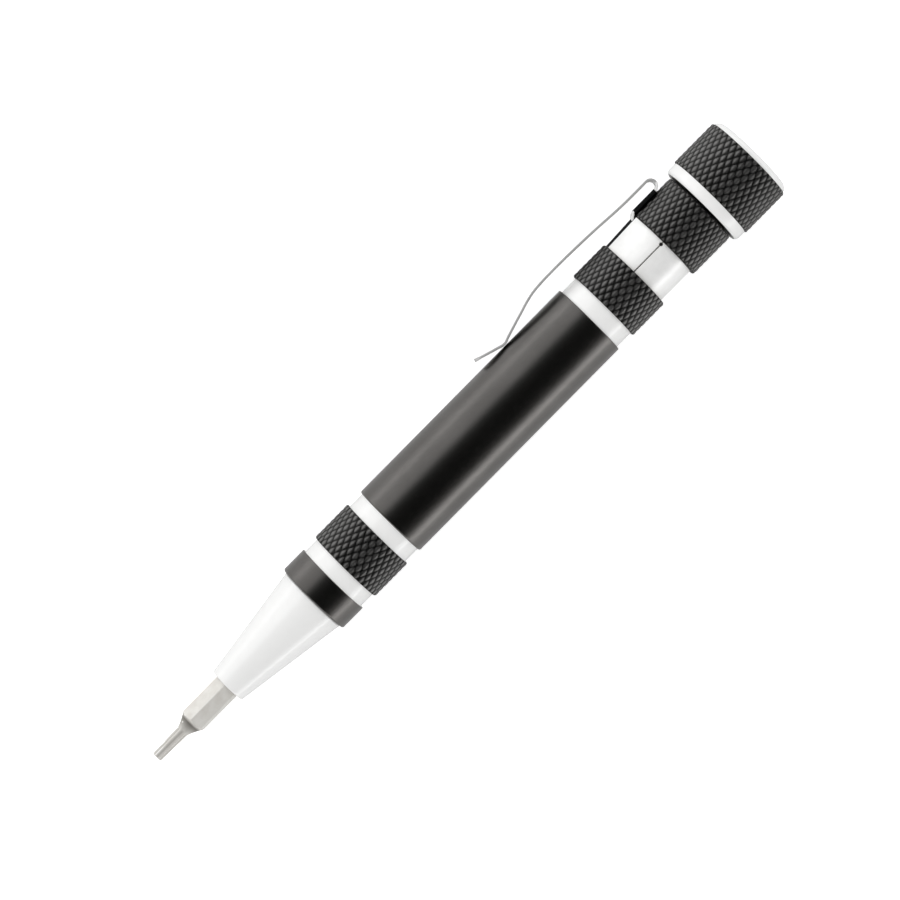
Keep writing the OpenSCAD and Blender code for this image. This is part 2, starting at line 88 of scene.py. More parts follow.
# Name of the mesh layer that holds each vertex's share of painted shade in hollows.
HOLLOW_SHADE = "hollow"
# Settings of the two kinds of noise, and of a Mix node that mixes colours.
CLOUDY = {"Detail": 3.0, "Roughness": 0.6}
FINE = {"Detail": 2.0, "Roughness": 0.6}
COLOURS = {"out": 2, "data_type": "RGBA"}
# Nearly all values of a fine noise lie between these.
GRAIN_SPAN = (0.3, 0.7)


class Body(str, Enum):
    """The bodies of the frame that pieces ride on."""

    HANDLE = "handle"
    BIT = "bit"
    TAIL = "tail"
    CLIP = "clip"
    CAP = "cap"


class Form(Enum):
    """What is cut into one stretch of a turned outline."""

    PLAIN = "plain"
    KNURL = "knurl"
    THREAD = "thread"


class Skin(IntEnum):
    """Numbers of the finishes on the turned and knurled pieces."""

    BLACK = 0
    BRIGHT = 1
    KNURLED = 2


class Strip(IntEnum):
    """Numbers of the finishes on the clip's strip."""

    ROLLED = 0
    SHEARED = 1
    # Near black steel, painted shade where the arm shades the tab and the band.
    PAINTED_SHADE = 2
    POLISHED = 3


def linear(hex_colour: str) -> tuple[float, float, float, float]:
    """Turns an sRGB hex colour into linear red, green, blue and alpha.

    Args:
        hex_colour: Six hex digits after a hash sign.

    Returns:
        The linear colour with an alpha of 1.
    """
    shares = [int(hex_colour[i : i + 2], 16) / 255 for i in (1, 3, 5)]
    parts = [s / 12.92 if s <= 0.04045 else ((s + 0.055) / 1.055) ** 2.4 for s in shares]
    return (parts[0], parts[1], parts[2], 1.0)


def per_mm(size: float) -> float:
    """Texture scale at which one feature measures size millimetres."""
    return 1 / (size * MM)


def add_node(
    tree: NodeTree, kind: str, inputs: dict | None = None, out: int | str = 0, **settings: Any
) -> NodeSocket | None:
    """Adds a node with its settings and links.

    Args:
        tree: The node tree that gets the node.
        kind: Blender's name for the node's type.
        inputs: A value, or a socket to link from, for each input by name or number.
        out: Name or number of the output that is wanted.
        **settings: Attributes of the node itself.

    Returns:
        The output, or None where the node has none.
    """
    node = tree.nodes.new(kind)
    for name, value in settings.items():
        setattr(node, name, value)
    for name, value in (inputs or {}).items():
        if isinstance(value, NodeSocket):
            tree.links.new(value, node.inputs[name])
        else:
            node.inputs[name].default_value = value
    return node.outputs[out] if node.outputs else None


def blank_material(name: str) -> tuple[Material, NodeTree]:
    """Makes a material with an empty node tree.

    Args:
        name: The real material's name.

    Returns:
        The material and its tree.
    """
    material = bpy.data.materials.new(name)
    material.use_nodes = True
    material.node_tree.nodes.clear()
    return material, material.node_tree


def mottle(
    tree: NodeTree, place: NodeSocket, size: float, tones: tuple[str, str],
    span: tuple[float, float],
) -> NodeSocket:
    """Mixes two colours in soft patches.

    Args:
        tree: The material's node tree.
        place: Each point's place on the piece at rest, in metres.
        size: Width of a patch in millimetres.
        tones: Both colours as sRGB hex.
        span: The noise's values where one colour ends and where the other is full.

    Returns:
        The mixed colour.
    """
    cloud = add_node(
        tree, "ShaderNodeTexNoise", {"Vector": place, "Scale": per_mm(size), **CLOUDY}
    )
    share = add_node(tree, "ShaderNodeMapRange", {0: cloud, 1: span[0], 2: span[1]})
    ends = {6: linear(tones[0]), 7: linear(tones[1])}
    return add_node(tree, "ShaderNodeMix", {0: share, **ends}, **COLOURS)


def shade_hollows(tree: NodeTree, colour: NodeSocket, deep: str) -> NodeSocket:
    """Paints shade into a colour where the mesh says that a point lies in a hollow.

    Args:
        tree: The material's node tree.
        colour: The colour outside the hollows.
        deep: The painted shade's colour at their bottom, as sRGB hex.

    Returns:
        The mixed colour.
    """
    sunk = add_node(tree, "ShaderNodeAttribute", out="Fac", attribute_name=HOLLOW_SHADE)
    return add_node(tree, "ShaderNodeMix", {0: sunk, 6: colour, 7: linear(deep)}, **COLOURS)


def find_ridges(tree: NodeTree, span: tuple[float, float], most: float) -> NodeSocket:
    """Finds the outer edges that wear first.

    Args:
        tree: The material's node tree.
        span: The pointiness where wear begins and where it is full.
        most: The largest share of wear.

    Returns:
        The share of wear.
    """
    edge = add_node(tree, "ShaderNodeNewGeometry", out="Pointiness")
    return add_node(
        tree, "ShaderNodeMapRange", {0: edge, 1: span[0], 2: span[1], 3: 0.0, 4: most}
    )


def raise_grain(
    tree: NodeTree, pattern: NodeSocket, gloss: tuple[float, float], depth: float
) -> dict:
    """Lets a fine pattern break up the gloss and raise the skin.

    Args:
        tree: The material's node tree.
        pattern: The pattern's height.
        gloss: Roughness at the bottom and at the top of the pattern.
        depth: Height of the relief in millimetres.

    Returns:
        The main shader's roughness and normal.
    """
    low, high = GRAIN_SPAN
    spread = {1: low, 2: high, 3: gloss[0], 4: gloss[1]}
    rough = add_node(tree, "ShaderNodeMapRange", {0: pattern, **spread})
    relief = add_node(tree, "ShaderNodeBump", {"Distance": depth * MM, "Height": pattern})
    return {"Roughness": rough, "Normal": relief}


@dataclass(frozen=True)
class Finish:
    """A real material with its surface. Each kind says what its main shader gets."""

    name: str = ""

    def inputs(self, tree: NodeTree, place: NodeSocket) -> dict:
        """Builds the patterns.

        Args:
            tree: The material's node tree.
            place: Each point's place on the piece at rest, in metres.

        Returns:
            The main shader's inputs by name.
        """
        raise NotImplementedError

    def material(self) -> Material:
        """Builds the material.

        Returns:
            The material with its main shader.
        """
        made, tree = blank_material(self.name)
        place = add_node(tree, "ShaderNodeTexCoord", out="Object")
        main = add_node(tree, "ShaderNodeBsdfPrincipled", self.inputs(tree, place))
        add_node(tree, "ShaderNodeOutputMaterial", {0: main})
        return made


@dataclass(frozen=True)
class BlackAnodised(Finish):
    """Black anodised aluminium, turned and then bead blasted before it was dyed."""

    # A soft dark grey sheen with blurred edges, deeper black painted into the knurl's grooves
    # as shade, and a trace of bare metal where its ridges have worn.
    name: str = "black_anodised_aluminium"
    dye: str = "#656361"
    dye_light: str = "#6a6866"
    # Painted shade at the bottom of the knurl's grooves.
    deep: str = "#282726"
    bare: str = "#b3b1ae"
    roughness: float = 0.33
    smoother: float = 0.03
    rougher: float = 0.05
    grit: float = 0.09
    grit_depth: float = 0.002
    patch: float = 6.0
    patch_span: tuple[float, float] = (0.35, 0.65)
    scuff: float = 0.8
    scuff_span: tuple[float, float] = (0.4, 0.7)
    ridge_span: tuple[float, float] = (0.53, 0.62)
    wear: float = 0.25

    def inputs(self, tree: NodeTree, place: NodeSocket) -> dict:
        """Mixes dye, painted shade in the hollows and worn ridges, and adds the blasted grain.

        Args:
            tree: The material's node tree.
            place: Each point's place on the piece at rest, in metres.

        Returns:
            The main shader's inputs by name.
        """
        tones = (self.dye, self.dye_light)
        dyed = mottle(tree, place, self.patch, tones, self.patch_span)
        # Painted shade in the knurl's grooves.
        dyed = shade_hollows(tree, dyed, self.deep)
        ridge = find_ridges(tree, self.ridge_span, self.wear)
        speckle = add_node(
            tree, "ShaderNodeTexNoise", {"Vector": place, "Scale": per_mm(self.scuff), **CLOUDY}
        )
        start, full = self.scuff_span
        scuffs = add_node(tree, "ShaderNodeMapRange", {0: speckle, 1: start, 2: full})
        worn = add_node(tree, "ShaderNodeMath", {0: ridge, 1: scuffs}, operation="MULTIPLY")
        bare = {0: worn, 6: dyed, 7: linear(self.bare)}
        colour = add_node(tree, "ShaderNodeMix", bare, **COLOURS)
        grain = add_node(
            tree, "ShaderNodeTexNoise", {"Vector": place, "Scale": per_mm(self.grit), **FINE}
        )
        gloss = (self.roughness - self.smoother, self.roughness + self.rougher)
        skin = raise_grain(tree, grain, gloss, self.grit_depth)
        return {"Base Color": colour, "Metallic": 1.0, **skin}


@dataclass(frozen=True)
class TurnedAluminium(Finish):
    """Turned aluminium, clear anodised over the fine marks of the tool."""

    # A pale silvery white with faint rings round the pen, with painted grey shade in the roots
    # of threads. The etched metal scatters light like paper, so it is matched as nearly matt,
    # and the clear layer over it adds a thin crisp streak.
    name: str = "turned_aluminium"
    metal: str = "#f1f1f0"
    metal_dull: str = "#ececeb"
    # Painted shade at the bottom of thread roots.
    painted_root_shade: str = "#7e7e7d"
    metallic: float = 0.05
    roughness: float = 0.48
    smoother: float = 0.05
    rougher: float = 0.07
    clear: float = 1.0
    clear_rough: float = 0.12
    feed: float = 0.13
    mark_depth: float = 0.002
    patch: float = 3.0
    patch_span: tuple[float, float] = (0.0, 1.0)

    def inputs(self, tree: NodeTree, place: NodeSocket) -> dict:
        """Draws the tool's marks by distance from the axis and place along it.

        Args:
            tree: The material's node tree.
            place: Each point's place on the piece at rest, in metres.

        Returns:
            The main shader's inputs by name.
        """
        across = add_node(
            tree, "ShaderNodeVectorMath", {0: place, 1: (0, 1, 1)}, operation="MULTIPLY"
        )
        radius = add_node(
            tree, "ShaderNodeVectorMath", {0: across}, out="Value", operation="LENGTH"
        )
        along = add_node(tree, "ShaderNodeSeparateXYZ", {0: place})
        lathe = add_node(tree, "ShaderNodeCombineXYZ", {0: along, 1: radius})
        rings = add_node(
            tree, "ShaderNodeTexNoise", {"Vector": lathe, "Scale": per_mm(self.feed), **FINE}
        )
        tones = (self.metal, self.metal_dull)
        colour = mottle(tree, place, self.patch, tones, self.patch_span)
        # Painted shade in the roots of the threads.
        colour = shade_hollows(tree, colour, self.painted_root_shade)
        gloss = (self.roughness - self.smoother, self.roughness + self.rougher)
        return {
            "Base Color": colour, "Metallic": self.metallic, "Coat Weight": self.clear,
            "Coat Roughness": self.clear_rough,
            **raise_grain(tree, rings, gloss, self.mark_depth),
        }


@dataclass(frozen=True)
class GroundSteel(Finish):
    """Hardened tool steel, ground lengthwise and tumbled, and the part's other steels."""

    # A warm light grey satin with fine lines along the piece, painted shade in hollows such
    # as the bit's lobe valleys and flare, and edges rubbed bright.
    name: str = "ground_tool_steel"
    metal: str = "#dfddd8"
    shade: str = "#d5d2cc"
    # Painted shade at the bottom of hollows.
    deep: str = "#6f6c66"
    rubbed: str = "#f4f3f0"
    metallic: float = 0.25
    roughness: float = 0.45
    smoother: float = 0.05
    rougher: float = 0.08
    line: float = 0.06
    stretch: float = 30.0
    line_depth: float = 0.0015
    patch: float = 1.6
    patch_span: tuple[float, float] = (0.35, 0.65)
    ridge_span: tuple[float, float] = (0.52, 0.62)
    wear: float = 0.8

    def inputs(self, tree: NodeTree, place: NodeSocket) -> dict:
        """Draws lines that are stretched along X, paints shade in the hollows, and rubs the ridges.

        Args:
            tree: The material's node tree.
            place: Each point's place on the piece at rest, in metres.

        Returns:
            The main shader's inputs by name.
        """
        narrow = {0: place, 1: (1 / self.stretch, 1, 1)}
        drawn = add_node(tree, "ShaderNodeVectorMath", narrow, operation="MULTIPLY")
        lines = add_node(
            tree, "ShaderNodeTexNoise", {"Vector": drawn, "Scale": per_mm(self.line), **FINE}
        )
        tones = (self.metal, self.shade)
        colour = mottle(tree, place, self.patch, tones, self.patch_span)
        # Painted shade in the hollows.
        colour = shade_hollows(tree, colour, self.deep)
        ridge = find_ridges(tree, self.ridge_span, self.wear)
        bright = {0: ridge, 6: colour, 7: linear(self.rubbed)}
        colour = add_node(tree, "ShaderNodeMix", bright, **COLOURS)
        gloss = (self.roughness - self.smoother, self.roughness + self.rougher)
        skin = raise_grain(tree, lines, gloss, self.line_depth)
        return {"Base Color": colour, "Metallic": self.metallic, **skin}


@dataclass(frozen=True)
class Moulded(Finish):
    """A moulded material with flecks in its colour and a spark-eroded skin."""

    # Nitrile rubber: a dull black with a faint bloom.
    name: str = "nitrile_rubber"
    tone: str = "#1b1b1b"
    fleck: str = "#2a2a2a"
    roughness: float = 0.68
    fleck_size: float = 0.7
    fleck_span: tuple[float, float] = (0.4, 0.7)
    grain: float = 0.1
    grain_depth: float = 0.004

    def inputs(self, tree: NodeTree, place: NodeSocket) -> dict:
        """Mixes the flecks in and adds the mould's grain.

        Args:
            tree: The material's node tree.
            place: Each point's place on the piece at rest, in metres.

        Returns:
            The main shader's inputs by name.
        """
        tones = (self.tone, self.fleck)
        colour = mottle(tree, place, self.fleck_size, tones, self.fleck_span)
        spark = add_node(
            tree, "ShaderNodeTexNoise", {"Vector": place, "Scale": per_mm(self.grain), **CLOUDY}
        )
        relief = add_node(
            tree, "ShaderNodeBump", {"Distance": self.grain_depth * MM, "Height": spark}
        )
        return {"Base Color": colour, "Roughness": self.roughness, "Normal": relief}


def seat_in_place(made: BMesh, name: str, finishes: Sequence[Material]) -> Object:
    """Turns a mesh in millimetres into an object in metres with crisp edges.

    Args:
        made: The mesh, which is freed.
        name: The new object's name.
        finishes: Materials in the order of the faces' numbers.

    Returns:
        The object, linked to the scene.
    """
    bmesh.ops.recalc_face_normals(made, faces=made.faces)
    made.normal_update()
    for face in made.faces:
        face.smooth = True
    for edge in made.edges:
        edge.smooth = len(edge.link_faces) == 2 and edge.calc_face_angle() < SHARP_ANGLE
    made.transform(Matrix.Scale(MM, 4))
    mesh = bpy.data.meshes.new(name)
    made.to_mesh(mesh)
    made.free()
    for finish in finishes:
        mesh.materials.append(finish)
    item = bpy.data.objects.new(name, mesh)
    bpy.context.scene.collection.objects.link(item)
    return item


def angle_about_x(vert: BMVert) -> float:
    """Angle of a vertex about the X axis, from 0 to a full turn."""
    return math.atan2(vert.co.z, vert.co.y) % TURN


def hollow_shade_layer(made: BMesh) -> Any:
    """The mesh's layer that says how much painted shade each vertex gets in a hollow."""
    layers = made.verts.layers.float
    return layers.get(HOLLOW_SHADE) or layers.new(HOLLOW_SHADE)


def add_face(made: BMesh, verts: Sequence[BMVert], finish: int) -> None:
    """Adds one face with its finish number."""
    made.faces.new(verts).material_index = finish


def join_loops(made: BMesh, first: list[BMVert], second: list[BMVert], finish: int) -> None:
    """Skins the space between two loops about the X axis, whatever their counts.

    Args:
        made: The mesh that gets the faces.
        first: One loop, by angle. A single vertex is a point on the axis.
        second: The other loop.
        finish: The faces' finish number.
    """
    if len(first) == 1 or len(second) == 1:
        point, loop = (first[0], second) if len(first) == 1 else (second[0], first)
        for i, vert in enumerate(loop):
            add_face(made, (point, vert, loop[(i + 1) % len(loop)]), finish)
        return
    if len(first) == len(second):
        for i in range(len(first)):
            j = (i + 1) % len(first)
            add_face(made, (first[i], first[j], second[j], second[i]), finish)
        return
    one = [angle_about_x(v) for v in first] + [TURN + angle_about_x(first[0])]
    two = [angle_about_x(v) for v in second] + [TURN + angle_about_x(second[0])]
    i, j = 0, 0
    while i < len(first) or j < len(second):
        if j == len(second) or (i < len(first) and one[i + 1] < two[j + 1]):
            ends = (first[i], first[(i + 1) % len(first)], second[j % len(second)])
            i += 1
        else:
            ends = (second[j], second[(j + 1) % len(second)], first[i % len(first)])
            j += 1
        add_face(made, ends, finish)


def round_loop(made: BMesh, x: float, r: float) -> list[BMVert]:
    """Adds a circle of vertices about the X axis, or one vertex where r is zero.

    Args:
        made: The mesh that gets it.
        x: Place along the axis.
        r: Radius.

    Returns:
        The vertices by angle.
    """
    if r <= 0:
        return [made.verts.new((x, 0, 0))]
    angles = [TURN * i / SIDES for i in range(SIDES)]
    return [made.verts.new((x, r * math.cos(a), r * math.sin(a))) for a in angles]


@dataclass(frozen=True)
class Turn:
    """One corner of a turned outline in millimetres, with the stretch that leads to it."""

    x: float
    r: float
    finish: int = 0
    round: float = 0.0
    form: Form = Form.PLAIN


def rounded(outline: Sequence[Turn], closed: bool) -> list[Turn]:
    """Replaces each corner that has a radius by an arc with that corner's finish.

    Args:
        outline: The corners in order.
        closed: Whether the last corner leads back to the first.

    Returns:
        The outline with its arcs.
    """
    result: list[Turn] = []
    for i, turn in enumerate(outline):
        at_end = not closed and i in (0, len(outline) - 1)
        if not turn.round or at_end:
            result.append(turn)
            continue
        corner = Vector((turn.x, turn.r))
        after = outline[(i + 1) % len(outline)]
        back = (Vector((outline[i - 1].x, outline[i - 1].r)) - corner).normalized()
        ahead = (Vector((after.x, after.r)) - corner).normalized()
        half = back.angle(ahead) / 2
        centre = corner + (back + ahead).normalized() * turn.round / math.sin(half)
        reach = turn.round / math.tan(half)
        start, end = corner + back * reach - centre, corner + ahead * reach - centre
        for step in range(ARC_STEPS + 1):
            at = centre + start.lerp(end, step / ARC_STEPS).normalized() * turn.round
            form = turn.form if step == 0 else Form.PLAIN
            result.append(Turn(at.x, at.y, turn.finish, form=form))
    return result


@dataclass(frozen=True)
class Knurl:
    """A rolled diamond knurl: two families of helical grooves with domed diamonds."""

    pitch_x: float = 2.05
    pitch_around: float = 1.13
    depth: float = 0.17
    steps: int = 6
    crown: float = 2.3
    # How the painted shade in the grooves grows with depth, and the share taken off it.
    shade_gain: float = 1.5
    shade_from: float = 0.16
    chamfer: float = 0.2

    def dome(self, a: float, b: float) -> float:
        """Height of a diamond.

        Args:
            a: Place across one family of grooves, where a whole number is a groove.
            b: Place across the other family.

        Returns:
            The height as a share, 0 in the grooves and 1 at the diamond's middle.
        """
        u = abs(2 * (a % 1) - 1)
        v = abs(2 * (b % 1) - 1)
        return (1 - u**self.crown) * (1 - v**self.crown)

    def sleeve(self, start: float, end: float, r: float) -> BMesh:
        """Builds the knurled sleeve and cuts it square at both ends.

        Args:
            start: Where it begins along X.
            end: Where it ends.
            r: Radius over the diamonds.

        Returns:
            The open sleeve.
        """
        made = bmesh.new()
        starts = round(TURN * r / self.pitch_around)
        rows = math.ceil((end - start) / self.pitch_x) + 1
        around = 2 * starts * self.steps
        known: dict[tuple[int, int], BMVert] = {}

        def vert(i: int, j: int) -> BMVert:
            """Finds or adds the vertex at one crossing of the fine grid.

            Args:
                i: Step across one family of grooves.
                j: Step across the other.

            Returns:
                The vertex.
            """
            key = (i - j, (i + j) % around)
            if key not in known:
                a, b = i / self.steps, j / self.steps
                angle = (a + b) / 2 * TURN / starts
                x = (start + end) / 2 + (a - b) / 2 * self.pitch_x
                at_r = r - self.depth * (1 - self.dome(a, b))
                known[key] = made.verts.new((x, at_r * math.cos(angle), at_r * math.sin(angle)))
            return known[key]

        for row in range(-rows, rows + 1):
            for column in range(starts):
                low_i, low_j = (column + row) * self.steps, column * self.steps
                for i in range(low_i, low_i + self.steps):
                    for j in range(low_j, low_j + self.steps):
                        corners = (vert(i, j), vert(i + 1, j), vert(i + 1, j + 1), vert(i, j + 1))
                        made.faces.new(corners)
        for x, side in ((start, "clear_inner"), (end, "clear_outer")):
            self.split(made, x, **{side: True})
        for x in (start + self.chamfer, end - self.chamfer):
            self.split(made, x)
        for one in made.verts:
            inset = self.chamfer - min(one.co.x - start, end - one.co.x)
            at_r = math.hypot(one.co.y, one.co.z)
            if inset > 0 and at_r > r - inset:
                share = (r - inset) / at_r
                one.co.y *= share
                one.co.z *= share
        return made

    @staticmethod
    def split(made: BMesh, x: float, **clear: bool) -> None:
        """Cuts the mesh across X at x, and clears one side if asked.

        Args:
            made: The mesh.
            x: Place of the cut.
            **clear: The side to clear, as Blender names it.
        """
        everything = [*made.verts, *made.edges, *made.faces]
        bmesh.ops.bisect_plane(
            made, geom=everything, dist=TOUCHING, plane_co=(x, 0, 0), plane_no=(1, 0, 0), **clear
        )

    def cut(
        self, made: BMesh, start: float, end: float, r: float, finish: int
    ) -> tuple[list[BMVert], list[BMVert]]:
        """Adds the knurled sleeve to a mesh.

        Args:
            made: The mesh that gets it.
            start: Where the knurl begins along X.
            end: Where it ends.
            r: Radius over the diamonds.
            finish: The faces' finish number.

        Returns:
            The loops of vertices at its two ends, by angle.
        """
        part = self.sleeve(start, end, r)
        hollow = hollow_shade_layer(made)
        copies = {}
        for one in part.verts:
            copies[one] = made.verts.new(one.co)
            # Painted shade, stronger deeper in the grooves.
            sunk = (r - math.hypot(one.co.y, one.co.z)) / self.depth
            copies[one][hollow] = min(1.0, max(0.0, sunk * self.shade_gain - self.shade_from))
        for face in part.faces:
            add_face(made, [copies[one] for one in face.verts], finish)
        ends = []
        for x in (start, end):
            loop = [new for old, new in copies.items() if abs(old.co.x - x) < 10 * TOUCHING]
            ends.append(sorted(loop, key=angle_about_x))
        part.free()
        return ends[0], ends[1]


@dataclass(frozen=True)
class Thread:
    """A right-hand screw thread with rounded crests."""

    pitch: float = 1.0
    depth: float = 0.32
    rows_per_pitch: int = 10
    lead: float = 0.5
    crest_power: float = 0.8
    # How the painted shade in the roots follows the groove's depth.
    shade_power: float = 1.5

    def cut(
        self, made: BMesh, start: float, end: float, r: float, finish: int
    ) -> tuple[list[BMVert], list[BMVert]]:
        """Adds the threaded stretch to a mesh, with the loops at its ends left round.

        Args:
            made: The mesh that gets it.
            start: Where the thread begins along X.
            end: Where it ends.
            r: Radius over the crests.
            finish: The faces' finish number.

        Returns:
            The first and the last loop.
        """
        rows = math.ceil((end - start) / self.pitch * self.rows_per_pitch)
        hollow = hollow_shade_layer(made)
        loops = []
        for row in range(rows + 1):
            x = start + (end - start) * row / rows
            fade = min(1.0, (x - start) / self.lead, (end - x) / self.lead)
            loop = []
            for i in range(SIDES):
                phase = (x / self.pitch - i / SIDES) % 1
                groove = (0.5 + 0.5 * math.cos(TURN * phase)) ** self.crest_power
                at_r = r - self.depth * fade * groove
                angle = TURN * i / SIDES
                loop.append(made.verts.new((x, at_r * math.cos(angle), at_r * math.sin(angle))))
                loop[-1][hollow] = fade * groove**self.shade_power
            if loops:
                join_loops(made, loops[-1], loop, finish)
            loops.append(loop)
        return loops[0], loops[-1]


def turned_piece(
    name: str,
    outline: Sequence[Turn],
    finishes: Sequence[Material],
    closed: bool = False,
    knurl: Knurl = Knurl(),
    thread: Thread = Thread(),
) -> Object:
    """Turns an outline about the X axis into one skin.

    Args:
        name: The piece's name.
        outline: Its corners in order. An open outline starts and ends on the axis.
        finishes: Materials in the order of the outline's finish numbers.
        closed: Whether the last corner leads back to the first, as on a tube.
        knurl: The knurl of stretches whose form says so.
        thread: The thread of stretches whose form says so.

    Returns:
        The piece.
    """
    cutters = {Form.KNURL: knurl, Form.THREAD: thread}
    made = bmesh.new()
    hollow_shade_layer(made)
    corners = rounded(outline, closed)
    first = round_loop(made, corners[0].x, corners[0].r)
    last, last_x = first, corners[0].x
    for turn in corners[1:]:
        if turn.form is Form.PLAIN:
            loop = round_loop(made, turn.x, turn.r)
            join_loops(made, last, loop, turn.finish)
            last = loop
        else:
            near, far = cutters[turn.form].cut(made, last_x, turn.x, turn.r, turn.finish)
            join_loops(made, last, near, turn.finish)
            last = far
        last_x = turn.x
    if closed:
        join_loops(made, last, first, corners[0].finish)
    bmesh.ops.remove_doubles(made, verts=made.verts[:], dist=TOUCHING)
    return seat_in_place(made, name, finishes)


def box_mm(node: str) -> tuple[Vector, Vector]:
    """Lowest and highest corner of a CAD node in millimetres."""
    low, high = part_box(node)
    return low / MM, high / MM


@dataclass(frozen=True)
class Finishes:
    """One material of each finish, shared by all pieces."""

    black: Material
    knurled: Material
    bright: Material
    steel: Material
    spring: Material
    sheared: Material
    # Near black steel for the clip's painted shade under its arm.
    painted_shade_steel: Material
    polished: Material
    bearing: Material
    magnet: Material
    rubber: Material
    plastic: Material

    @property
    def turned(self) -> list[Material]:
        """Finishes of the turned and knurled pieces, in the order of Skin."""
        return [self.black, self.bright, self.knurled]

    @property
    def strip(self) -> list[Material]:
        """Finishes of the clip, in the order of Strip."""
        return [self.spring, self.sheared, self.painted_shade_steel, self.polished]


def make_finishes() -> Finishes:
    """Builds each material once.

    Returns:
        The materials.
    """
    return Finishes(
        black=BlackAnodised().material(),
        knurled=BlackAnodised(
            # The knurling tool leaves its diamonds rougher than the lathe, so their sheen
            # is softer and spreads into the shaded side. Their dye is painted lighter than the
            # barrel's, standing in for light that the diamonds catch, and deep is their painted shade.
            name="knurled_black_anodised_aluminium", dye="#7f7e7d", dye_light="#8a8988",
            deep="#2e2e2d", roughness=0.56,
        ).material(),
        bright=TurnedAluminium().material(),
        steel=GroundSteel().material(),
        spring=GroundSteel(
            name="rolled_spring_steel", metal="#f6f6f5", shade="#f0f0ef", metallic=0.2,
            roughness=0.34,
        ).material(),
        sheared=GroundSteel(
            name="sheared_spring_steel", metal="#d0d0cf", shade="#c6c6c5",
            rubbed="#d0d0cf", metallic=0.5,
        ).material(),
        polished=GroundSteel(
            name="polished_spring_steel", metal="#d6d6d5", shade="#cbcbca", metallic=1.0,
            roughness=0.18,
        ).material(),
        # Near black spring steel, painted shade on the clip's tab and on one row of its band.
        painted_shade_steel=GroundSteel(
            name="painted_shade_spring_steel", metal="#2c2c2e", shade="#222224",
            rubbed="#2c2c2e", metallic=0.8,
        ).material(),
        bearing=GroundSteel(
            name="ground_bearing_steel", metal="#cfd0d1", shade="#c0c1c3", metallic=0.9,
            roughness=0.2,
        ).material(),
        magnet=GroundSteel(
            name="nickel_plated_magnet", metal="#bdb9b0", shade="#aca89f", metallic=0.9,
            roughness=0.22,
        ).material(),
        rubber=Moulded().material(),
        plastic=Moulded(
            # Glass-filled nylon: a flat grey with a soft broken highlight.
            name="glass_filled_nylon", tone="#55585c", fleck="#666a6e", roughness=0.5,
            fleck_size=0.25, grain=0.12, grain_depth=0.006,
        ).material(),
    )


@dataclass
class Nose:
    """The bright cone that holds the bit's socket."""

    finishes: Finishes
    mouth_round: float = 0.25
    heel_round: float = 0.2
    hole_r: float = 2.61
    tip_r: float = 3.1
    end_r: float = 5.8
    thread_r: float = 5.4
    lead_in: float = 0.3
    cone_len: float = 18.8

    def build(self) -> Object:
        """Turns the cone with its screwed spigot.

        Returns:
            The cone.
        """
        low, high = box_mm("nose_cone")
        base = low.x + self.cone_len
        outline = [
            Turn(low.x, self.hole_r),
            Turn(low.x, self.tip_r, round=self.mouth_round),
            Turn(base, self.end_r, round=self.heel_round),
            Turn(base, self.thread_r),
            Turn(high.x - self.lead_in, self.thread_r, form=Form.THREAD),
            Turn(high.x, self.thread_r - self.lead_in),
            Turn(high.x, self.hole_r),
        ]
        cone = turned_piece(
            "turned_nose_cone", outline, [self.finishes.bright], closed=True,
            thread=Thread(pitch=0.75, depth=0.2),
        )
        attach(cone, Body.HANDLE.value)
        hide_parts("nose_cone")
        return cone


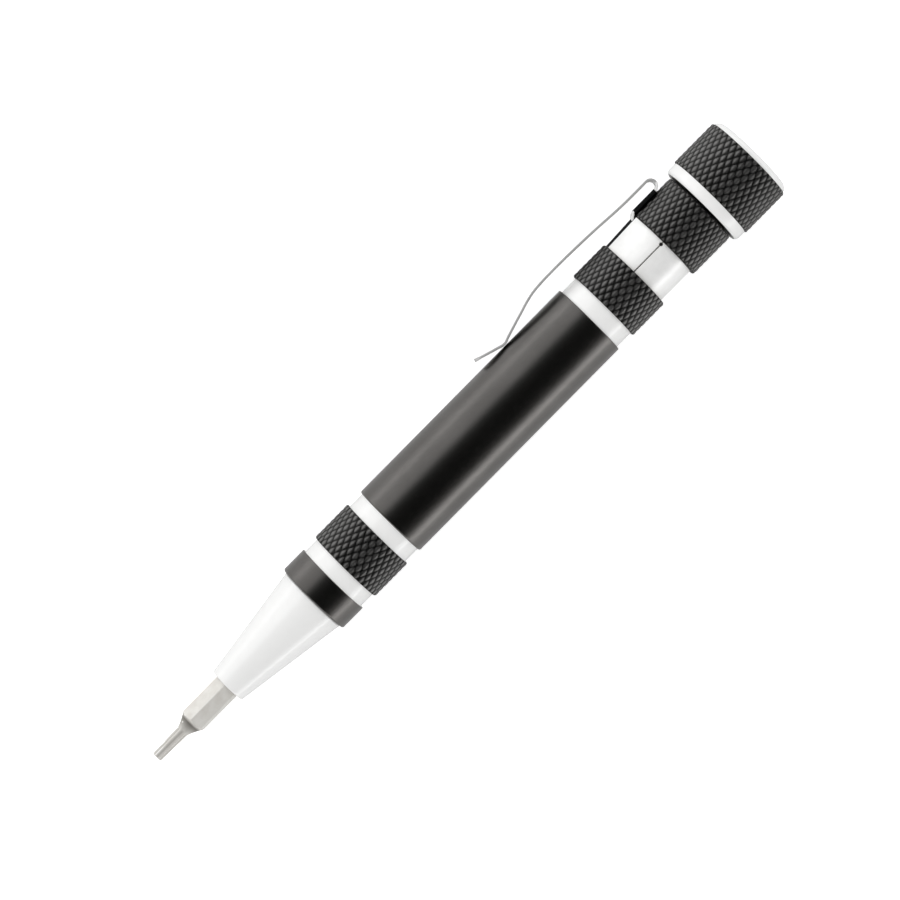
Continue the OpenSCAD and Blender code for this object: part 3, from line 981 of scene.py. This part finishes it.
@dataclass
class WorkingBit:
    """The bit in use: a six-lobed point, a hollow flare and a hex shank."""

    finishes: Finishes
    sides: int = 96
    lobes: int = 6
    point_r: float = 0.84
    neck_r: float = 0.97
    lobe_depth: float = 0.17
    lobe_power: float = 0.9
    lobe_fade: float = 1.6
    lobe_fade_power: float = 1.5
    # Painted shade in the valleys between the lobes.
    lobe_shade: float = 0.4
    tip_len: float = 0.12
    slim_len: float = 5.5
    slim_steps: int = 12
    flare_len: float = 2.15
    flare_steps: int = 22
    flare_power: float = 1.4
    # Painted shade in the hollow of the flare.
    flare_shade: float = 1.15
    flare_shade_end: float = 1.1
    flare_shade_fade: float = 0.22
    shoulder_r: float = 1.9
    shoulder_len: float = 0.5
    shoulder_steps: int = 8
    across_flats: float = 4.0
    turned_by: float = 9.0
    lobes_turned_by: float = 43.0

    def hex_r(self, angle: float) -> float:
        """Radius of the hex shank at an angle from one of its corners."""
        within = (angle % (math.pi / 3)) - math.pi / 6
        return self.across_flats / 2 / math.cos(within)

    def valley(self, angle: float) -> float:
        """How deep between two lobes an angle lies, from 0 to 1."""
        turned = self.lobes * (angle - math.radians(self.lobes_turned_by))
        return (0.5 - 0.5 * math.cos(turned)) ** self.lobe_power

    def hollow(self, x: float, angle: float) -> float:
        """How much painted shade darkens a place on the bit, in the lobes' valleys and the flare.

        Args:
            x: Place along the bit from its point.
            angle: Angle from a corner of the hex.

        Returns:
            The share, from 0 to 1.
        """
        lobes = self.lobe_shade * self.valley(angle)
        if x <= self.slim_len:
            return lobes
        along = (x - self.slim_len) / self.flare_len
        fading = min(1.0, max(0.0, (self.flare_shade_end - along) / self.flare_shade_fade))
        return max(lobes * (1 - 2 * along), min(1.0, along * self.flare_shade) * fading)

    def radius(self, x: float, angle: float, end: float) -> float:
        """Radius of the bit's surface.

        Args:
            x: Place along the bit from its point.
            angle: Angle from a corner of the hex.
            end: Where the bit ends.

        Returns:
            The radius in millimetres.
        """
        slim = self.point_r + (self.neck_r - self.point_r) * min(1, x / self.slim_len)
        valley = self.valley(angle)
        if x <= self.slim_len:
            return slim - self.lobe_depth * valley - max(0.0, self.tip_len - x)
        along = (x - self.slim_len) / self.flare_len
        if along <= 1:
            flare = slim + (self.shoulder_r - slim) * along**self.flare_power
            fade = max(0.0, 1 - self.lobe_fade * along) ** self.lobe_fade_power
            return flare - self.lobe_depth * valley * fade
        cone = self.shoulder_r + (x - self.slim_len - self.flare_len)
        return min(self.hex_r(angle), cone, self.shoulder_r + (end - x))

    def stations(self, end: float) -> list[float]:
        """Finds the places along the bit where the skin has a ring.

        Args:
            end: Where the bit ends.

        Returns:
            The places, from the point to the end.
        """
        rings = [0.0, self.tip_len]
        rings += [self.slim_len * i / self.slim_steps for i in range(1, self.slim_steps)]
        for start, length, steps, first in (
            (self.slim_len, self.flare_len, self.flare_steps, 0),
            (self.slim_len + self.flare_len, self.shoulder_len, self.shoulder_steps, 1),
            (end - self.shoulder_len, self.shoulder_len, 2, 0),
        ):
            rings += [start + length * i / steps for i in range(first, steps + 1)]
        return rings

    def build(self) -> Object:
        """Skins the bit ring by ring.

        Returns:
            The bit.
        """
        low, high = box_mm("driver_bit")
        made = bmesh.new()
        hollow = hollow_shade_layer(made)
        turn = math.pi / 2 - math.radians(self.turned_by)
        last = [made.verts.new((low.x, 0, 0))]
        for x in self.stations(high.x - low.x):
            loop = []
            for i in range(self.sides):
                angle = TURN * i / self.sides
                r = self.radius(x, angle, high.x - low.x)
                at = angle + turn
                loop.append(made.verts.new((low.x + x, r * math.cos(at), r * math.sin(at))))
                loop[-1][hollow] = self.hollow(x, angle)
            join_loops(made, last, loop, 0)
            last = loop
        join_loops(made, last, [made.verts.new((high.x, 0, 0))], 0)
        bit = seat_in_place(made, "star_driver_bit", [self.finishes.steel])
        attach(bit, Body.BIT.value)
        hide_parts("driver_bit")
        return bit


@dataclass
class HandleTube:
    """The black tube: a front band, a groove, the front grip, a groove and the barrel."""

    finishes: Finishes
    barrel_r: float = 6.4
    grip_r: float = 6.5
    groove_r: float = 6.0
    bore_r: float = 5.0
    nose_seat_r: float = 5.43
    tail_seat_r: float = 5.68
    seal_seat_r: float = 6.0
    band_len: float = 4.4
    front_groove_len: float = 2.6
    grip_len: float = 7.1
    rear_groove_len: float = 2.7
    nose_seat_len: float = 5.7
    tail_seat_len: float = 6.0
    seal_seat_len: float = 1.1
    corner: float = 0.3
    small_corner: float = 0.12

    def build(self) -> Object:
        """Turns the tube with its knurl and both seats.

        Returns:
            The tube.
        """
        low, high = box_mm("body_tube")
        black, bright, knurled = Skin
        groove_1 = low.x + self.band_len
        grip = groove_1 + self.front_groove_len
        groove_2 = grip + self.grip_len
        barrel = groove_2 + self.rear_groove_len
        end = high.x
        outline = [
            Turn(low.x, self.nose_seat_r, bright),
            Turn(low.x, self.barrel_r, black, self.corner),
            Turn(groove_1, self.barrel_r, black, self.small_corner),
            Turn(groove_1, self.groove_r, bright),
            Turn(grip, self.groove_r, bright),
            Turn(groove_2, self.grip_r, knurled, form=Form.KNURL),
            Turn(groove_2, self.groove_r, bright),
            Turn(barrel, self.groove_r, bright),
            Turn(barrel, self.barrel_r - self.corner, bright),
            Turn(barrel, self.barrel_r, black, self.corner),
            Turn(end, self.barrel_r, black, self.small_corner),
            Turn(end, self.seal_seat_r, bright),
            Turn(end - self.seal_seat_len, self.seal_seat_r, bright),
            Turn(end - self.seal_seat_len, self.tail_seat_r, bright),
            Turn(end - self.tail_seat_len, self.tail_seat_r, bright),
            Turn(end - self.tail_seat_len, self.bore_r, bright),
            Turn(low.x + self.nose_seat_len, self.bore_r, bright),
            Turn(low.x + self.nose_seat_len, self.nose_seat_r, bright),
        ]
        tube = turned_piece("knurled_handle_tube", outline, self.finishes.turned, closed=True)
        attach(tube, Body.HANDLE.value)
        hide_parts("body_tube")
        return tube


@dataclass
class Tail:
    """The part that unscrews: a thread, a groove, two grips and the clip's seat."""

    finishes: Finishes
    grip_r: float = 6.5
    groove_r: float = 5.95
    seat_r: float = 5.33
    thread_r: float = 5.65
    seal_land_r: float = 5.45
    bore_r: float = 5.0
    cavity_r: float = 4.1
    bearing_r: float = 4.52
    thread_len: float = 4.8
    lead_in: float = 0.2
    seal_land_len: float = 1.1
    groove_len: float = 3.0
    lip_round: float = 0.08
    mid_grip_len: float = 6.8
    seat_len: float = 6.4
    rear_grip_len: float = 8.0
    neck_len: float = 0.06
    neck_r: float = 5.6
    bore_len: float = 12.5
    web: float = 2.0
    bearing_depth: float = 4.3

    def build(self) -> Object:
        """Turns the tail with both knurls.

        Returns:
            The tail.
        """
        low, _ = box_mm("tail_grip")
        black, bright, knurled = Skin
        land = low.x + self.thread_len
        groove = land + self.seal_land_len
        grip = groove + self.groove_len
        seat = grip + self.mid_grip_len
        rear = seat + self.seat_len
        end = rear + self.rear_grip_len
        bottom = low.x + self.bore_len
        outline = [
            Turn(bottom, 0),
            Turn(bottom, self.bore_r, bright),
            Turn(low.x, self.bore_r, bright),
            Turn(low.x, self.thread_r - self.lead_in, bright),
            Turn(low.x + self.lead_in, self.thread_r, bright),
            Turn(land, self.thread_r, bright, form=Form.THREAD),
            Turn(land, self.seal_land_r, bright),
            Turn(groove, self.seal_land_r, bright),
            Turn(groove, self.groove_r, bright, self.lip_round),
            Turn(grip, self.groove_r, bright),
            Turn(seat, self.grip_r, knurled, form=Form.KNURL),
            Turn(seat, self.seat_r, black),
            Turn(rear, self.seat_r, black),
            Turn(end - self.neck_len, self.grip_r, knurled, form=Form.KNURL),
            Turn(end - self.neck_len, self.neck_r, black),
            Turn(end, self.neck_r, black),
            Turn(end, self.bearing_r, bright),
            Turn(end - self.bearing_depth, self.bearing_r, bright),
            Turn(end - self.bearing_depth, self.cavity_r, bright),
            Turn(bottom + self.web, self.cavity_r, bright),
            Turn(bottom + self.web, 0, bright),
        ]
        tail = turned_piece("knurled_tail", outline, self.finishes.turned)
        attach(tail, Body.TAIL.value)
        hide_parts("tail_grip")
        return tail


@dataclass
class Cap:
    """The spinning cap: a bright ring, a knurl and a bright domed rim."""

    finishes: Finishes
    boss_r: float = 2.74
    boss_len: float = 0.45
    spindle_r: float = 2.02
    hole_len: float = 7.0
    ring_r: float = 7.5
    ring_len: float = 2.0
    ring_round: float = 0.75
    # The ring's round shoulder keeps the black finish up to this angle: painted shade for the dark gap
    # between the tail's knurl and the ring.
    ring_painted_shade: float = 30.0
    ring_step: int = 10
    knurl_r: float = 7.75
    rim_len: float = 1.0
    rim_r: float = 7.4
    rim_steps: int = 8
    face_r: float = 6.15

    def build(self) -> Object:
        """Turns the cap.

        Returns:
            The cap.
        """
        low, high = box_mm("cap_shell")
        black, bright, knurled = Skin
        front = low.x + self.boss_len
        knurl = front + self.ring_len
        rim = high.x - self.rim_len
        dome_r = self.rim_r - self.face_r
        quarters = [math.pi / 2 * i / self.rim_steps for i in range(self.rim_steps + 1)]
        dome = [
            Turn(rim + self.rim_len * math.sin(a), self.face_r + dome_r * math.cos(a), bright)
            for a in quarters
        ]
        # The first part of the shoulder is black, painted shade for the gap in front of the ring.
        shoulder = [
            Turn(
                front + self.ring_round * (1 - math.cos(math.radians(a))),
                self.ring_r - self.ring_round * (1 - math.sin(math.radians(a))),
                black if a <= self.ring_painted_shade else bright,
            )
            for a in range(0, 91, self.ring_step)
        ]
        outline = [
            Turn(front + self.hole_len, 0),
            Turn(front + self.hole_len, self.spindle_r, bright),
            Turn(low.x, self.spindle_r, bright),
            Turn(low.x, self.boss_r, bright),
            Turn(front, self.boss_r, bright),
            *shoulder,
            Turn(knurl, self.ring_r, bright),
            Turn(rim, self.knurl_r, knurled, form=Form.KNURL),
            *dome,
            Turn(high.x, 0, bright),
        ]
        cap = turned_piece(
            "knurled_spinning_cap", outline, self.finishes.turned,
            knurl=Knurl(pitch_around=1.16),
        )
        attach(cap, Body.CAP.value)
        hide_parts("cap_shell")
        return cap


@dataclass
class Clip:
    """The spring clip: a band round the tail, a tab, a bend and a bowed arm."""

    # Lengths are in millimetres. lift is the stretch of height over which the bend follows
    # the arm. Behind a set place along X the tab is thickened to tab_t and near black, painted
    # shade under the arm, and one row of the band beside its pad is painted shade too.
    finishes: Finishes
    strip: float = 0.4
    tab_t: float = 0.66
    arm_w: float = 4.8
    tip_w: float = 4.13
    edge: float = 0.05
    band_r: float = 5.55
    band_len: float = 6.3
    hole_r: float = 0.28
    hole_inset: float = 0.45
    hole_steps: int = 12
    run_steps: int = 6
    pad_front_y: float = 5.92
    pad_rear_y: float = 6.2
    pad_steps: int = 8
    seam_gap: float = 0.14
    seam_fall: float = 0.16
    seam_turn: float = 3.0
    band_steps: int = 36
    # Where along the way to the pad the row of painted shade begins.
    painted_shade_share: float = 0.86
    flat_end: float = 1.6
    flat_steps: int = 4
    tab_y: float = 6.75
    bend_r: float = 0.98
    touch_y: float = 6.65
    rise_y: float = 9.3
    arm_steps: int = 6
    # Shares of the arm's length and of its rise, from the bend to the flared end.
    bow: tuple[tuple[float, float], ...] = (
        (0.0, 0.77), (0.138, 0.785), (0.296, 0.92), (0.464, 1.0), (0.592, 0.98),
        (0.661, 0.86), (0.745, 0.52), (0.829, 0.16), (0.865, 0.0), (0.903, 0.13),
        (1.0, 0.55),
    )
    joggle_lead: float = 0.3
    joggle_start: float = 0.55
    joggle_end: float = -0.1
    joggle_tail: float = 0.4
    joggle_steps: int = 4
    bend_step: int = 10
    tip_narrow: float = 0.02
    curl_t: float = 0.54
    curl_len: float = 0.45
    lift: tuple[float, float] = (7.476, 8.869)
    lift_lean: float = 0.1
    rolled_faces: tuple[int, int] = (2, 8)
    painted_shade_from: float = 111.1

    def arm_path(self, back: float, tip: float) -> list[Vector]:
        """Centreline of the arm from the top of the bend to the flared end.

        Args:
            back: Where the bend's straight side begins along X.
            tip: Where the flared end is.

        Returns:
            Points in the XY plane.
        """
        rise = self.rise_y - self.touch_y
        reach = back - tip
        knots = [Vector((back - reach * s, self.touch_y + rise * h)) for s, h in self.bow]
        return smooth_line(knots, self.arm_steps)

    def build(self) -> Object:
        """Skins the strip and the band as one piece that bends with the arm.

        Returns:
            The clip.
        """
        band_low, _ = box_mm("clip_band")
        arm_low, arm_high = box_mm("clip_arm")
        made = bmesh.new()
        band_end = band_low.x + self.band_len
        back = arm_high.x - self.strip / 2 - self.bend_r
        centre = Vector((back, self.tab_y + self.bend_r))
        joggle = [
            (band_end - self.joggle_start - self.joggle_lead, self.pad_rear_y),
            (band_end - self.joggle_start, self.pad_rear_y),
            (band_end - self.joggle_end, self.tab_y),
            (band_end + self.joggle_tail, self.tab_y),
        ]
        path = smooth_line([Vector(at) for at in joggle], self.joggle_steps)
        path += [
            centre + self.bend_r * Vector((math.cos(a), math.sin(a)))
            for a in (math.radians(d) for d in range(-90, 91, self.bend_step))
        ]
        path += self.arm_path(back, arm_low.x)[1:]
        self.sweep(made, path, back)
        self.wrap(made, band_low.x, band_end)
        clip = seat_in_place(made, "spring_clip", self.finishes.strip)
        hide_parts("clip_band", "clip_arm")
        hinge = arm_high.x - self.strip / 2
        start = Vector((hinge, self.lift[0], 0)) * MM
        end = Vector((hinge - self.lift_lean, self.lift[1], 0)) * MM
        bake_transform(clip, Body.TAIL.value, Body.CLIP.value, start=start, end=end)
        return clip

    def sweep(self, made: BMesh, path: Sequence[Vector], back: float) -> None:
        """Skins a strip with rounded edges along a path in the XY plane.

        Args:
            made: The mesh that gets the strip.
            path: Centreline points from the pad to the flared end.
            back: Where the arm begins to narrow.
        """
        tip_x = path[-1].x
        last: list[BMVert] = []
        for i, at in enumerate(path):
            ahead = path[min(i + 1, len(path) - 1)] - path[max(i - 1, 0)]
            normal = Vector((-ahead.y, ahead.x)).normalized()
            share = min(1.0, max(0.0, (back - at.x) / (back - tip_x)))
            on_arm = at.y > self.tab_y + self.bend_r or at.x < path[0].x
            width = self.arm_w + (self.tip_w - self.arm_w) * share if on_arm else self.arm_w
            to_tip = at.x - tip_x
            reach = self.tip_w / 2
            if on_arm and to_tip < reach:
                width *= math.sqrt(max(self.tip_narrow, 1 - ((reach - to_tip) / reach) ** 2))
            loop = []
            # The tab is thickened and near black: painted shade under the arm.
            on_tab = self.painted_shade_from < at.x <= back and at.y < self.tab_y + TOUCHING
            on_curl = on_arm and to_tip < self.curl_len
            thick = self.tab_t if on_tab else self.curl_t if on_curl else self.strip
            for across, through in self.section(width, thick):
                point = at + normal * through
                loop.append(made.verts.new((point.x, point.y, across)))
            if last:
                face = Strip.POLISHED if on_arm and at.x <= back else Strip.ROLLED
                side = Strip.SHEARED if on_arm else Strip.ROLLED
                for k, one in enumerate(loop):
                    after = (k + 1) % len(loop)
                    finish = Strip.PAINTED_SHADE if on_tab else face if k in self.rolled_faces else side
                    add_face(made, (last[k], last[after], loop[after], one), finish)
            else:
                add_face(made, loop, Strip.SHEARED)
            last = loop
        add_face(made, last, Strip.SHEARED)

    def section(self, width: float, thick: float) -> list[tuple[float, float]]:
        """Draws the strip's section with rounded edges.

        Args:
            width: Its width.
            thick: Its thickness.

        Returns:
            Places across the width and through the thickness.
        """
        half_w, half_t, edge = width / 2, thick / 2, min(self.edge, width / 4)
        points = []
        corners = ((1, 1, 0), (-1, 1, 90), (-1, -1, 180), (1, -1, 270))
        for sign_w, sign_t, start in corners:
            for turn in (0, 45, 90):
                a = math.radians(start + turn)
                points.append((
                    sign_w * (half_w - edge) + edge * math.cos(a),
                    sign_t * (half_t - edge) + edge * math.sin(a),
                ))
        return points

    def band_line(self, pad_y: float, gap_w: float) -> list[Vector]:
        """Section of the band along X, from the seam over the pad and round to the seam.

        Args:
            pad_y: Height of the pad's centreline above the axis.
            gap_w: Width of the seam there.

        Returns:
            Points (y, z) on the centre of the strip.
        """
        half = self.arm_w / 2
        reach = math.hypot(half, pad_y)
        lean = math.atan2(half, pad_y) + math.acos(min(1.0, self.band_r / reach))
        seam = math.pi / 2 - math.radians(self.seam_turn)
        gap = gap_w / 2 / self.band_r
        flat = self.flat_end / self.band_r
        steps = self.band_steps
        points = []
        for i in range(steps + 1):
            a = seam - gap - (seam - gap - lean) * i / steps
            points.append(Vector((math.cos(a), math.sin(a))) * self.band_r)
        shares = [2 * i / self.pad_steps for i in range(1, self.pad_steps)]
        pad = [Vector((pad_y, half * (1 - share))) for share in shares]
        # The row between this extra point and the pad is painted shade along the band's top edge.
        points += [points[-1].lerp(pad[0], self.painted_shade_share), *pad]
        around = TURN - lean - (seam + gap)
        for i in range(2 * steps + 1):
            a = -lean - (around - flat) * i / (2 * steps)
            points.append(Vector((math.cos(a), math.sin(a))) * self.band_r)
        corner = points[-1].copy()
        a = seam + gap + flat
        step = Vector((math.sin(a), -math.cos(a))) * self.flat_end / self.flat_steps
        points += [corner + step * i for i in range(1, self.flat_steps + 1)]
        return points

    def wrap(self, made: BMesh, start: float, end: float) -> None:
        """Skins the band as a grid with a thickness.

        Args:
            made: The mesh that gets the band.
            start: Where the band begins along X.
            end: Where it ends.
        """
        outer: list[list[BMVert]] = []
        inner: list[list[BMVert]] = []
        hole_x = end - self.hole_inset
        run = hole_x - self.hole_r - start
        places = [start + run * i / self.run_steps for i in range(self.run_steps)]
        turns = [math.pi * i / self.hole_steps for i in range(self.hole_steps + 1)]
        places += [hole_x - self.hole_r * math.cos(a) for a in turns] + [end]
        stations = len(places) - 1
        for x in places:
            share = (x - start) / (end - start)
            inside = max(0.0, self.hole_r**2 - (x - hole_x) ** 2)
            line = self.band_line(
                self.pad_front_y + (self.pad_rear_y - self.pad_front_y) * share,
                max(self.seam_gap, 2 * math.sqrt(inside)),
            )
            rows: list[list[BMVert]] = [[], []]
            for k, at in enumerate(line):
                ahead = line[min(k + 1, len(line) - 1)] - line[max(k - 1, 0)]
                normal = Vector((ahead.y, -ahead.x)).normalized()
                if normal.dot(at) < 0:
                    normal = -normal
                fall = self.seam_fall if k in (0, len(line) - 1) else 0.0
                for row, through in zip(rows, (self.strip / 2 - fall, -self.strip / 2)):
                    point = at + normal * through
                    row.append(made.verts.new((x, point.x, point.y)))
            outer.append(rows[0])
            inner.append(rows[1])
        count = len(outer[0])
        # This row, between the extra point and the pad, is painted shade under the clip.
        dark = self.band_steps + 1
        for i in range(stations):
            for k in range(count - 1):
                for grid in (outer, inner):
                    corners = (grid[i][k], grid[i][k + 1], grid[i + 1][k + 1], grid[i + 1][k])
                    add_face(made, corners, Strip.PAINTED_SHADE if k == dark else Strip.ROLLED)
            for k in (0, count - 1):
                corners = (outer[i][k], inner[i][k], inner[i + 1][k], outer[i + 1][k])
                add_face(made, corners, Strip.ROLLED)
        for i in (0, stations):
            for k in range(count - 1):
                corners = (outer[i][k], outer[i][k + 1], inner[i][k + 1], inner[i][k])
                add_face(made, corners, Strip.ROLLED)


def smooth_line(knots: Sequence[Vector], steps: int) -> list[Vector]:
    """Catmull-Rom curve through points.

    Args:
        knots: The points that it passes through.
        steps: Pieces between two points.

    Returns:
        Points along the curve, first and last knot included.
    """
    result = [knots[0].copy()]
    for i in range(len(knots) - 1):
        before = knots[max(i - 1, 0)]
        one, two = knots[i], knots[i + 1]
        after = knots[min(i + 2, len(knots) - 1)]
        for step in range(1, steps + 1):
            t = step / steps
            result.append((
                2 * one + (two - before) * t
                + (2 * before - 5 * one + 4 * two - after) * t * t
                + (3 * one - before - 3 * two + after) * t * t * t
            ) / 2)
    return result


@dataclass
class Insides:
    """The pieces of the frame that keep their CAD shape and get a finish."""

    finishes: Finishes

    def dress(self, nodes: dict[str, Object]) -> None:
        """Gives each node its material.

        Args:
            nodes: The frame's nodes by name.
        """
        finishes = self.finishes
        worn = (
            (finishes.steel, (
                "bit_socket", "small_slotted_bit", "large_slotted_bit", "small_cross_bit",
                "large_cross_bit", "spare_star_bit", "hex_bit", "cap_spindle",
            )),
            (finishes.magnet, ("socket_magnet",)),
            (finishes.plastic, ("bit_magazine", "bearing_cage")),
            (finishes.rubber, ("tail_seal", "magazine_pad")),
            (finishes.bearing, ("bearing_outer_race", "bearing_inner_race", "bearing_balls")),
            (finishes.spring, ("spindle_ring",)),
        )
        for finish, names in worn:
            for name in names:
                node = nodes[name]
                if not node.material_slots:
                    node.data.materials.append(finish)
                for slot in node.material_slots:
                    slot.link = "OBJECT"
                    slot.material = finish
                LOG.info("dressed %s in %s", name, finish.name)


@dataclass(frozen=True)
class SoftBox:
    """A soft box that hangs beside the pen and faces it. Lengths are in millimetres."""

    # The angle is in degrees from straight up towards +Y, the span goes across the pen, and
    # a strength of 1 makes its face white.
    name: str
    angle: float
    span: float
    strength: float
    length: float = 900.0
    distance: float = 600.0

    def hang(self, centre_x: float) -> None:
        """Adds the lamp.

        Args:
            centre_x: Middle of the pen along X.
        """
        lamp = bpy.data.lights.new(self.name, "AREA")
        lamp.shape = "RECTANGLE"
        lamp.size, lamp.size_y = self.length * MM, self.span * MM
        lamp.energy = self.strength * math.pi * lamp.size * lamp.size_y
        item = bpy.data.objects.new(self.name, lamp)
        bpy.context.scene.collection.objects.link(item)
        a = math.radians(self.angle)
        away = Vector((0, math.sin(a), math.cos(a))) * self.distance
        item.location = (away + Vector((centre_x, 0, 0))) * MM
        item.rotation_euler = (-a, 0, 0)


@dataclass
class Studio:
    """A white table, a white surround, two soft boxes and the camera."""

    # Lengths are in millimetres. The table touches the cap and the band at cap_rest and
    # band_rest behind their front edges.
    table_span: float = 3000.0
    cap_rest: float = 2.6
    band_rest: float = 0.3
    wall_r: float = 1400.0
    wall_foot: float = -60.0
    wall_top: float = 430.0
    wall_sides: int = 64
    pixels_per_mm: float = 6.5
    frame_pixels: float = 900.0
    camera_height: float = 700.0
    camera_foot_x: float = 73.8
    centre_x: float = 65.4
    centre_y: float = 1.14
    pen_angle: float = 45.33
    sensor: float = 36.0
    near: float = 10.0
    far: float = 10000.0
    boxes: tuple[SoftBox, ...] = (
        SoftBox("key_box", 51.0, 560.0, 0.97), SoftBox("low_box", -89.5, 130.0, 2.3),
    )
    paper: str = "#e6e6e6"
    room: str = "#242424"
    fill: str = "#f3f3f3"
    table_seen: float = 0.6
    table_mirrored: float = 0.1

    def white_stage(self, name: str, seen: float, mirrored: float) -> Material:
        """White paper that the lens, shiny metal and glass see lifted to white.

        Args:
            name: The material's name.
            seen: Light added for the lens.
            mirrored: Light added for metal and glass.

        Returns:
            The material.
        """
        made, tree = blank_material(name)
        glossy = add_node(tree, "ShaderNodeLightPath", out="Is Glossy Ray")
        through = add_node(tree, "ShaderNodeLightPath", out="Is Transmission Ray")
        lens = add_node(tree, "ShaderNodeLightPath", out="Is Camera Ray")
        bent = add_node(tree, "ShaderNodeMath", {0: glossy, 1: through}, operation="MAXIMUM")
        for_lens = add_node(tree, "ShaderNodeMath", {0: lens, 1: seen}, operation="MULTIPLY")
        lift = add_node(
            tree, "ShaderNodeMath", {0: bent, 1: mirrored, 2: for_lens}, operation="MULTIPLY_ADD"
        )
        paper = add_node(tree, "ShaderNodeBsdfDiffuse", {"Color": linear(self.paper)})
        glow = add_node(tree, "ShaderNodeEmission", {"Strength": lift})
        both = add_node(tree, "ShaderNodeAddShader", {0: paper, 1: glow})
        add_node(tree, "ShaderNodeOutputMaterial", {0: both})
        return made

    def table(self) -> None:
        """Lays the table under the cap and the front band, which both rest on it."""
        cap_x = box_mm("cap_shell")[0].x
        tube_x = box_mm("body_tube")[0].x
        rest = Vector((cap_x + self.cap_rest, -Cap.knurl_r))
        front = Vector((tube_x + self.band_rest, -HandleTube.barrel_r))
        slope = (front.y - rest.y) / (front.x - rest.x)
        half = self.table_span / 2
        drop = rest.y - slope * rest.x
        made = bmesh.new()
        corners = [(-half, -half), (half, -half), (half, half), (-half, half)]
        made.faces.new([made.verts.new((x, y, drop + slope * x)) for x, y in corners])
        paper = self.white_stage("white_paper", self.table_seen, self.table_mirrored)
        table = seat_in_place(made, "table", [paper])

    def surround(self) -> None:
        """Stands a low round wall about the table."""
        made = bmesh.new()
        last: list[BMVert] = []
        for i in range(self.wall_sides + 1):
            a = TURN * i / self.wall_sides
            x, y = self.wall_r * math.cos(a), self.wall_r * math.sin(a)
            pair = [made.verts.new((x, y, z)) for z in (self.wall_foot, self.wall_top)]
            if last:
                made.faces.new((last[0], pair[0], pair[1], last[1]))
            last = pair
        wall = seat_in_place(made, "surround", [self.white_stage("white_surround", 1, 1)])

    def world(self) -> None:
        """A dim room above the surround, so that the pen's top shows a dark reflection."""
        world = bpy.data.worlds.new("dim_room")
        bpy.context.scene.world = world
        world.use_nodes = True
        tree = world.node_tree
        tree.nodes.clear()
        soft = add_node(tree, "ShaderNodeLightPath", out="Is Diffuse Ray")
        lens = add_node(tree, "ShaderNodeLightPath", out="Is Camera Ray")
        tones = {6: linear(self.room), 7: linear(self.fill)}
        room = add_node(tree, "ShaderNodeMix", {0: soft, **tones}, **COLOURS)
        room = add_node(tree, "ShaderNodeMix", {0: lens, 6: room, 7: (1, 1, 1, 1)}, **COLOURS)
        glow = add_node(tree, "ShaderNodeBackground", {"Color": room})
        add_node(tree, "ShaderNodeOutputWorld", {0: glow})

    def camera(self) -> None:
        """Stands the camera over the pen at the photograph's angle."""
        lens = bpy.data.cameras.new("camera")
        span = self.frame_pixels / self.pixels_per_mm
        lens.sensor_width = self.sensor
        lens.lens = self.sensor * self.camera_height / span
        lens.clip_start, lens.clip_end = self.near * MM, self.far * MM
        item = bpy.data.objects.new("camera", lens)
        bpy.context.scene.collection.objects.link(item)
        eye = Vector((self.camera_foot_x, self.centre_y, self.camera_height))
        aim = Vector((self.centre_x, self.centre_y, 0))
        back = (eye - aim).normalized()
        a = math.radians(self.pen_angle)
        up = Vector((math.sin(a), math.cos(a), 0))
        right = up.cross(back).normalized()
        up = back.cross(right)
        turn = Matrix((right, up, back)).transposed().to_4x4()
        item.matrix_world = Matrix.Translation(eye * MM) @ turn
        bpy.context.scene.camera = item

    def build(self) -> None:
        """Sets the whole studio."""
        self.camera()
        self.table()
        self.surround()
        self.world()
        for box in self.boxes:
            box.hang(self.centre_x)
        bpy.context.scene.view_settings.view_transform = "Standard"


def main() -> None:
    """Builds every piece round the frame."""
    logging.basicConfig(level=logging.INFO, format="%(message)s")
    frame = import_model()
    Studio().build()
    finishes = make_finishes()
    for part in (Nose, WorkingBit, HandleTube, Tail, Cap, Clip):
        piece = part(finishes).build()
        LOG.info("built %s with %d faces", piece.name, len(piece.data.polygons))
    Insides(finishes).dress(frame["nodes"])
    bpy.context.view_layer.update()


if __name__ == "__main__":
    main()
